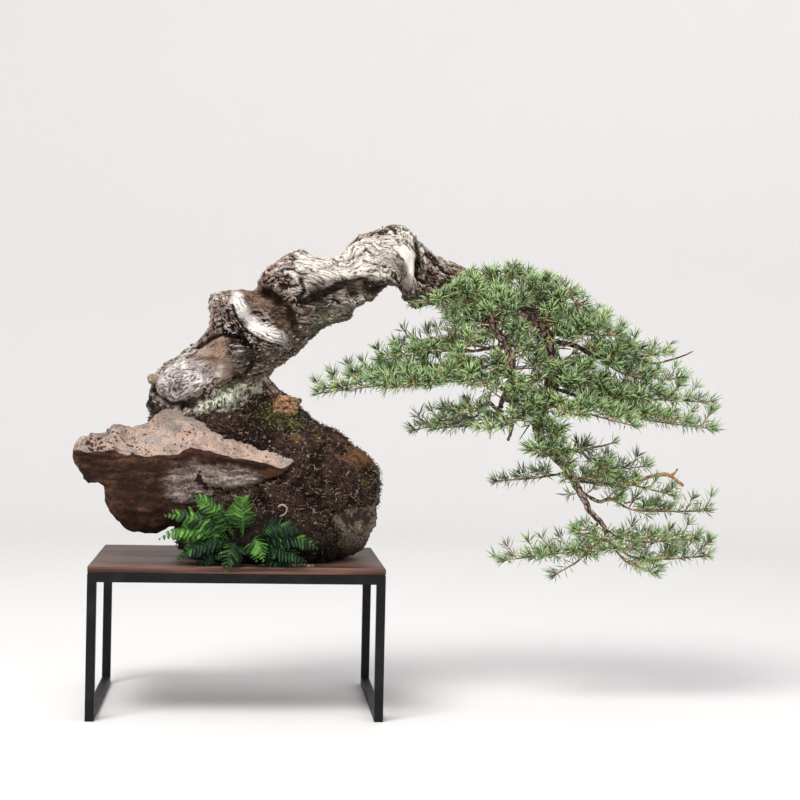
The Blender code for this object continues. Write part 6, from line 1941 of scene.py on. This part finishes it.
class BONSAI_OT_needles(bpy.types.Operator):
    """Makes each branch's needles, with the twigs that carry them."""

    bl_idname = "bonsai.needles"
    bl_label = "Needles"

    def execute(self, context):
        settings = context.scene.bonsai_needles
        finishes = [needle_finish(settings), twig_finish()]
        for seed, (name, (route, _, bare)) in enumerate(BRANCHES.items()):
            draw = np.random.default_rng(300 + seed)
            crown = smooth(route[-1][2], 530, 590)
            fullness = SPRAY_FULLNESS.get(name, 0.8 + 0.2 * smooth(route[-1][2], 360, 440))
            heap = self.spray(draw, settings, route, bare, crown, fullness)
            finished(heap.build(f"needles_{name}", finishes), "needles", f"spray_{name}")
        for seed, (name, route) in enumerate(STEMS.items()):
            draw = np.random.default_rng(400 + seed)
            heap = self.stem_shoots(draw, settings, route, STEM_WIDTHS[name])
            finished(heap.build(f"shoots_{name}", finishes), "needles")
        finished(self.tufts(np.random.default_rng(450), settings).build("crown_tufts", finishes), "needles")
        return {"FINISHED"}

    @classmethod
    def spray(cls, draw, settings, route, bare, crown, fullness):
        """The leafy part of a branch. Its shoots begin some way down the bare wood."""
        length = settings.length / MM
        run = between(route, 80)
        total = lengths_along(run)[-1] - length * TIP_SHARE
        whole = stretch(run, 0, total, 4.0)
        longest = np.clip((0.26 + 0.12 * crown) * (total - bare) + 8, 26, 46)
        shoots = side_shoots(draw, whole, 0.36 * bare, settings.twig_spacing / MM, longest)
        heap = Heap()
        middle = stretch(run, bare - 1, total, 4.0)
        cls.twig(draw, settings, heap, middle, 1.9, 1.0, fullness, 5)
        for path in shoots:
            if fullness < 1 and draw.random() > fullness:
                continue
            cls.twig(draw, settings, heap, path, 1.0, 0.7, fullness, 4)
        return heap

    @classmethod
    def stem_shoots(cls, draw, settings, route, widths):
        """Leafy shoots that sprout from a stem's own bark, and bare twigs in the crown."""
        run = smooth_route(route, 3.0)
        radii = limb_radii(len(run), *widths, STEM_BEND)
        _, aside, over = frame_along(run)
        heap = Heap()
        for index in np.arange(4, len(run) - 4, 3):
            turn = draw.uniform(0, 2 * math.pi)
            radial = aside[index] * math.cos(turn) + over[index] * math.sin(turn)
            foot = run[index] + radial * radii[index] * 0.8
            heading = unit(radial + (0, -0.8, draw.uniform(-0.3, 0.5)))
            crown = smooth(run[index][2], 400, 470)
            length = draw.uniform(0.5, 1.0) * (20 + 30 * crown)
            path = shoot(draw, foot, heading, length, (0, 0, 0.12))
            cls.twig(draw, settings, heap, path, 1.1, 0.75, 1.0, 4)
            for _ in range(int(5 * crown)):
                way = unit(radial * draw.uniform(0.2, 1) + draw.normal(scale=0.7, size=3) - (0, 0.4, 0))
                path = shoot(draw, run[index], way, draw.uniform(26, 58), draw.normal(scale=0.14, size=3))
                cls.twig(draw, settings, heap, path, draw.uniform(1.2, 2.0), 0.7, 0.0, 4)
            if length > 30:
                for side in side_shoots(draw, path, 0.25 * length, 10.0, 24.0):
                    cls.twig(draw, settings, heap, side, 0.9, 0.65, 1.0, 4)
        return heap

    @classmethod
    def tufts(cls, draw, settings):
        """Star-shaped tufts at the crown's front, each on a twig from the nearest stem or branch."""
        routes = [*STEMS.values(), *(route for route, _, _ in BRANCHES.values())]
        bark = np.concatenate([between(route, 60) for route in routes])
        heap = Heap()
        for place in np.array(TUFTS, float):
            foot = bark[np.linalg.norm(bark - place, axis=1).argmin()]
            reach = np.linalg.norm(place - foot)
            ahead = unit(place - foot)
            path = shoot(draw, foot, ahead, reach, (0, 0, 0.1))
            cls.twig(draw, settings, heap, path, 1.2, 0.8, 1.0, 4, max(reach - 22, 0))
            for part in draw.uniform(0.55, 0.95, 4):
                way = unit(0.7 * ahead + draw.normal(scale=0.8, size=3) + (0, -0.4, 0.2))
                side = at_length(path, np.array([part * reach]))[0]
                path_aside = shoot(draw, side, way, draw.uniform(12, 22), 0.1 * ahead)
                cls.twig(draw, settings, heap, path_aside, 0.9, 0.65, 1.0, 4)
            way = unit(draw.normal(size=3) * (1, 0.3, 0.5))
            dead = shoot(draw, place - way * 12, way, draw.uniform(24, 40), draw.normal(scale=0.12, size=3))
            cls.twig(draw, settings, heap, dead, 1.0, 0.6, 0.0, 4)
        return heap

    @staticmethod
    def twig(draw, settings, heap, path, start, end, fullness, sides, bare=0.0):
        """One twig with its needles, left out where the crown is trimmed or parts.

        Needles whose points would leave the fixed model's box are left out too.
        """
        if trimmed(draw, path).mean() < 0.6:
            return
        rings, bud = twig_rings(path, start, end, sides)
        heap.add(*skin(rings), finish=1, bud=with_ends(bud), old=smooth(start, 0.9, 1.3))
        if fullness == 0:
            return
        spacing = settings.spacing / MM / max(fullness, 0.3)
        roots, ways, overs, sizes = needle_places(draw, path, spacing, settings.length / MM, bare)
        low, high = np.array(MODEL_BOX) / MM - SHIFT
        tips = roots + ways * sizes[:, None]
        inside = ((tips > low) & (tips < high)).all(axis=1) & trimmed(draw, 0.4 * roots + 0.6 * tips)
        roots, ways, overs, sizes = (part[inside] for part in (roots, ways, overs, sizes))
        number = len(roots)
        tone = np.clip(draw.normal(0.5, 0.28, number) + draw.normal(0, 0.2), 0, 1)
        tone = np.repeat(tone, NEEDLE_CORNERS)
        age = np.repeat(draw.random(number) > 0.985, NEEDLE_CORNERS)
        tip = np.tile([0, 0.4, 0.4, 0.4, 1.0], number)
        keel = np.tile([0, 0, 0, 1.0, 0.2], number)
        shapes = needle_batch(roots, ways, overs, sizes, settings.width / MM)
        heap.add(*shapes, tone=tone, tip=tip, keel=keel, age=age)


# Ferns


def frond_run(foot, tip, bow, count):
    """A frond's midline: straight from foot to tip, bowed up by a parabola."""
    share = np.linspace(0, 1, count)[:, None]
    foot, tip = np.array(foot, float), np.array(tip, float)
    return foot + (tip - foot) * share + np.array(BOW_WAY) * bow * 4 * share * (1 - share)


def leaflets(draw, roots, ways, faces, sizes, width):
    """Toothed leaflets: across each station a flat four-cornered ring, wider and narrower by turns.

    Half the width goes as t^0.3 (1 - t)^0.5 along the leaflet, which gives a broad foot and a blunt point.
    """
    stations = 10
    share = np.linspace(0, 1, stations)
    teeth = np.where(np.arange(stations) % 2, 1.14, 0.84)
    half = width * share**0.3 * (1 - share) ** 0.5 * teeth + 0.15
    aside = unit(np.cross(ways, faces))
    over = np.cross(aside, ways)
    droop = draw.uniform(0.1, 0.45, len(roots))
    hook = draw.uniform(0.02, 0.12, len(roots))
    length = sizes[:, None, None]
    path = roots[:, None] + ways[:, None] * share[:, None] * length
    path = path - over[:, None] * (droop[:, None] * share**2)[..., None] * length
    path = path + aside[:, None] * (hook[:, None] * share**2)[..., None] * length
    scale = (sizes / sizes.max())[:, None, None] ** 0.5
    raised = 2 * over[:, None] * (0.16 * half)[:, None]
    left = aside[:, None] * half[:, None] * scale
    thick = over[:, None] * np.where(share > 0.96, 0.08, 0.22)[:, None]
    return np.stack([path + left + raised, path + thick, path - left + raised, path - thick], axis=2)


def fern_finish(settings):
    """Fern green, light or deep by the frond's age and by painted light and shade, with paler ribs, a dark
    mottle, and painted highlights in bright patches.
    """
    finish = Finish("fern_leaf", roughness=0.45, specular=0.25)
    young, rib, tone = finish.marks("young", "rib", "tone")
    broad = finish.noise(12)
    light, deep = tuple(settings.light), tuple(settings.deep)
    colour = finish.laid(
        # Deep to light green by age and by painted light and shade
        finish.ramp(young + tone * 0.6 - 0.3, 0.2, 1.15, deep, light),
        # Painted highlights in bright patches
        (broad * 0.8 + tone * 0.5 + young * 0.3, 0.85, 1.25, 0.65, times(1.9, light)),
        (broad, 0.52, 0.36, 0.6, times(0.5, deep)),
        (rib, 0.5, 1.0, young * 0.35, (0.22, 0.40, 0.12)),
    )
    return finish.done(colour, 0.38 + broad * 0.2, broad, 0.3)


# How young and how lit each frond's green looks: low values paint a frond deep green, partly as its age and
# partly as painted shade
FROND_YOUTH_AND_LIGHT = (1.0, 0.6, 0.75, 0.85, 0.2, 0.3, 0.9, 0.2, 0.4, 0.1)
# Each frond has two smaller ones beside it: how far they are turned down and how long they are
FROND_COMPANIONS = ((0.0, 1.0), (0.4, 0.76), (-0.2, 0.62))


class BONSAI_OT_ferns(bpy.types.Operator):
    """Makes the fern fronds, each a rib with toothed leaflets to both sides."""

    bl_idname = "bonsai.ferns"
    bl_label = "Ferns"

    def execute(self, context):
        settings = context.scene.bonsai_ferns
        finish = fern_finish(settings)
        for index, (foot, tip, bow, face) in enumerate(FRONDS):
            draw = np.random.default_rng(500 + index)
            heap = Heap()
            for turn, size in FROND_COMPANIONS:
                x, y, z = np.array(tip, float) - foot
                down = math.copysign(turn, -x * turn)
                wide = x * math.cos(down) - z * math.sin(down)
                high = x * math.sin(down) + z * math.cos(down)
                root = foot + np.array([0, 9 * abs(turn), 0])
                point = root + np.array([wide, y, high]) * size
                # The smaller companions get less of the painted light, so they are painted darker as shaded
                youth_and_light = FROND_YOUTH_AND_LIGHT[index] * (0.4 + 0.6 * size)
                self.frond(draw, settings, heap, root, point, bow, face, youth_and_light)
            number = f"{index + 1:02d}"
            finished(heap.build(f"fern_{number}", [finish]), "fern_leaf", f"fern_frond_{number}")
        return {"FINISHED"}

    @staticmethod
    def frond(draw, settings, heap, foot, tip, bow, face, youth_and_light):
        """A frond's rib and its leaflets, which stay above the board while they are over it."""
        run = frond_run(foot, tip, bow, 40)
        inward = unit(run[0] - run[1])
        rib = np.concatenate([[run[0] + inward * STEM_DEPTH], run])
        over_board = rib[:, 1] > -STAND_DEPTH / 2 - 2
        rib[:, 2] = np.where(over_board, np.maximum(rib[:, 2], STAND_HEIGHT + 5), rib[:, 2])
        run = rib[1:]
        heap.add(*skin(tube_rings(rib, np.linspace(0.9, 0.3, len(rib)), 6)), young=youth_and_light, rib=1.0, tone=0.5)
        share = np.linspace(FROND_BARE_SHARE, 0.985, settings.pairs)
        index = share * (len(run) - 1)
        ahead = unit(np.gradient(run, axis=0))
        ahead, centre = (read_off(rows, np.arange(len(run)), index) for rows in (ahead, run))
        aside = unit(np.cross(ahead, face))
        over = np.cross(aside, ahead)
        wave = np.interp(share, (FROND_BARE_SHARE, 1.0), (0.26, 0.96))
        total = lengths_along(run)[-1]
        sizes = settings.leaflet / MM * np.sin(math.pi * wave) * min(1.0, 0.55 + total / 120)
        spacing = total * (share[1] - share[0])
        for side in (-1, 1):
            lean = 0.35 + 0.3 * wave[:, None] + draw.uniform(-0.12, 0.12, (len(share), 1))
            ways = unit(aside * side + ahead * lean - over * draw.uniform(-0.15, 0.5, (len(share), 1)))
            lengths = sizes * draw.uniform(0.88, 1.08, len(share))
            shapes = leaflets(draw, centre + ahead * side * 0.6, ways, over, lengths, 0.72 * spacing)
            if (centre[:, 1] > -STAND_DEPTH / 2).all():
                shapes[..., 2] = np.maximum(shapes[..., 2], STAND_HEIGHT + 0.8)
            rib = np.zeros(shapes.shape[:3])
            rib[:, :, 1] = 0.7
            rib = np.concatenate([rib.reshape(len(share), -1), np.full((len(share), 2), 0.5)], axis=1)
            tone = np.repeat(draw.random(len(share)), corner_count(shapes))
            heap.add(*skins(shapes), young=youth_and_light, rib=rib.ravel(), tone=tone)


# Studio

# The camera's place, its turns, and its lens and sensor in millimetres
CAMERA_PLACE = (9.1, -2503.5, 495.8)
CAMERA_YAW, CAMERA_PITCH, CAMERA_ROLL = (math.radians(turn) for turn in (5.223, -0.874, 1.203))
CAMERA_LENS = 75.0
CAMERA_SENSOR = 36.0
# The lamps: name, place, the place that they face, width and height in metres, and colour
LAMPS = (
    ("key", (-700, -1300, 2500), (60, 0, 420), 1.3, 1.0, (1.0, 0.985, 0.965)),
    ("wash", (900, 1300, 2500), (500, 3600, 900), 2.6, 0.8, (1.0, 0.99, 0.98)),
    ("fill", (2100, -1500, 1300), (150, 0, 400), 1.6, 1.6, (0.95, 0.97, 1.0)),
)
SKY_COLOUR = (0.97, 0.975, 1.0)


class BONSAI_OT_stage(bpy.types.Operator):
    """Makes the floor that sweeps up into a round backdrop, the soft lights and the camera."""

    bl_idname = "bonsai.stage"
    bl_label = "Studio"

    def execute(self, context):
        settings = context.scene.bonsai_stage
        self.make_backdrop(settings)
        for name, *lamp in LAMPS:
            self.make_light(name, getattr(settings, name), *lamp)
        world = bpy.data.worlds.new("pale_sky")
        context.scene.world = world
        world.use_nodes = True
        sky = world.node_tree.nodes["Background"].inputs
        sky["Color"].default_value = (*SKY_COLOUR, 1)
        sky["Strength"].default_value = settings.sky
        context.scene.view_settings.view_transform = "Standard"
        self.make_camera(context)
        return {"FINISHED"}

    @staticmethod
    def make_backdrop(settings):
        """A profile turned round the middle: flat floor, a quarter circle, then an upright wall."""
        radius, bend = settings.radius, settings.bend
        turn = np.linspace(-math.pi / 2, 0, 16)
        floor = np.linspace(0.02, radius - bend, 12)[:-1]
        out = np.concatenate([floor, radius - bend + bend * np.cos(turn), [radius]])
        up = np.concatenate([0 * floor, bend + bend * np.sin(turn), [settings.height]])
        around = np.linspace(0, 2 * math.pi, 96, endpoint=False)
        out, up = out[:, None], up[:, None]
        rings = np.stack([out * np.cos(around), out * np.sin(around), up + 0 * around], axis=-1)
        points, faces = skin(rings / MM - SHIFT)
        open_top = [faces[0][:, ::-1], faces[1][:len(around)][:, ::-1]]
        heap = Heap()
        heap.add(points, open_top)
        finish = Finish("backdrop", roughness=0.95, specular=0.1)
        cloud = finish.noise(900, detail=1)
        pale = tuple(settings.backdrop)
        material = finish.done(finish.mix(cloud * 0.5, pale, times(0.97, pale)))
        heap.build("backdrop", [material], inside=False)

    @staticmethod
    def make_light(name, power, place, aim, width, height, colour):
        """A soft square lamp that faces a place."""
        light = bpy.data.lights.new(name, "AREA")
        light.shape = "RECTANGLE"
        light.size, light.size_y = width, height
        light.energy = power
        light.color = colour
        lamp = bpy.data.objects.new(name, light)
        lamp.location = Vector((np.array(place) + SHIFT) * MM)
        way = Vector(np.array(aim, float) - np.array(place, float))
        lamp.rotation_euler = way.to_track_quat("-Z", "Y").to_euler()
        bpy.context.scene.collection.objects.link(lamp)

    @staticmethod
    def make_camera(context):
        """A camera turned by yaw, pitch and roll from looking along +Y."""
        yaw, pitch, roll = CAMERA_YAW, CAMERA_PITCH, CAMERA_ROLL
        ahead = math.cos(pitch)
        forward = Vector((math.sin(yaw) * ahead, math.cos(yaw) * ahead, math.sin(pitch)))
        level = Vector((math.cos(yaw), -math.sin(yaw), 0))
        upright = level.cross(forward)
        right = level * math.cos(roll) + upright * math.sin(roll)
        up = upright * math.cos(roll) - level * math.sin(roll)
        data = bpy.data.cameras.new("camera")
        data.lens, data.sensor_width = CAMERA_LENS, CAMERA_SENSOR
        camera = bpy.data.objects.new("camera", data)
        turn = Matrix((right, up, -forward)).transposed().to_4x4()
        camera.matrix_world = Matrix.Translation((np.array(CAMERA_PLACE) + SHIFT) * MM) @ turn
        context.scene.collection.objects.link(camera)
        context.scene.camera = camera


# Panel and registration

OPERATORS = (
    BONSAI_OT_stage, BONSAI_OT_stand, BONSAI_OT_stones, BONSAI_OT_soil, BONSAI_OT_wood, BONSAI_OT_needles,
    BONSAI_OT_ferns,
)
SETTINGS = {
    "bonsai_stage": StageSettings,
    "bonsai_stand": StandSettings,
    "bonsai_stone": StoneSettings,
    "bonsai_soil": SoilSettings,
    "bonsai_wood": WoodSettings,
    "bonsai_needles": NeedleSettings,
    "bonsai_ferns": FernSettings,
}


class BONSAI_PT_panel(bpy.types.Panel):
    """Lists the operators and the settings of each group of pieces."""

    bl_idname = "BONSAI_PT_panel"
    bl_label = "Bonsai on stone"
    bl_space_type = "VIEW_3D"
    bl_region_type = "UI"
    bl_category = "Bonsai"

    def draw(self, context):
        for operator, (name, group) in zip(OPERATORS, SETTINGS.items()):
            box = self.layout.box()
            box.operator(operator.bl_idname)
            for key in group.__annotations__:
                box.prop(getattr(context.scene, name), key)


def register():
    for group in (*SETTINGS.values(), *OPERATORS, BONSAI_PT_panel):
        bpy.utils.register_class(group)
    for name, group in SETTINGS.items():
        setattr(bpy.types.Scene, name, PointerProperty(type=group))


def unregister():
    for name in SETTINGS:
        delattr(bpy.types.Scene, name)
    for group in (BONSAI_PT_panel, *reversed(OPERATORS), *SETTINGS.values()):
        bpy.utils.unregister_class(group)


def main():
    register()
    for operator in OPERATORS:
        getattr(bpy.ops.bonsai, operator.bl_idname.split(".")[1])()


if __name__ == "__main__":
    main()
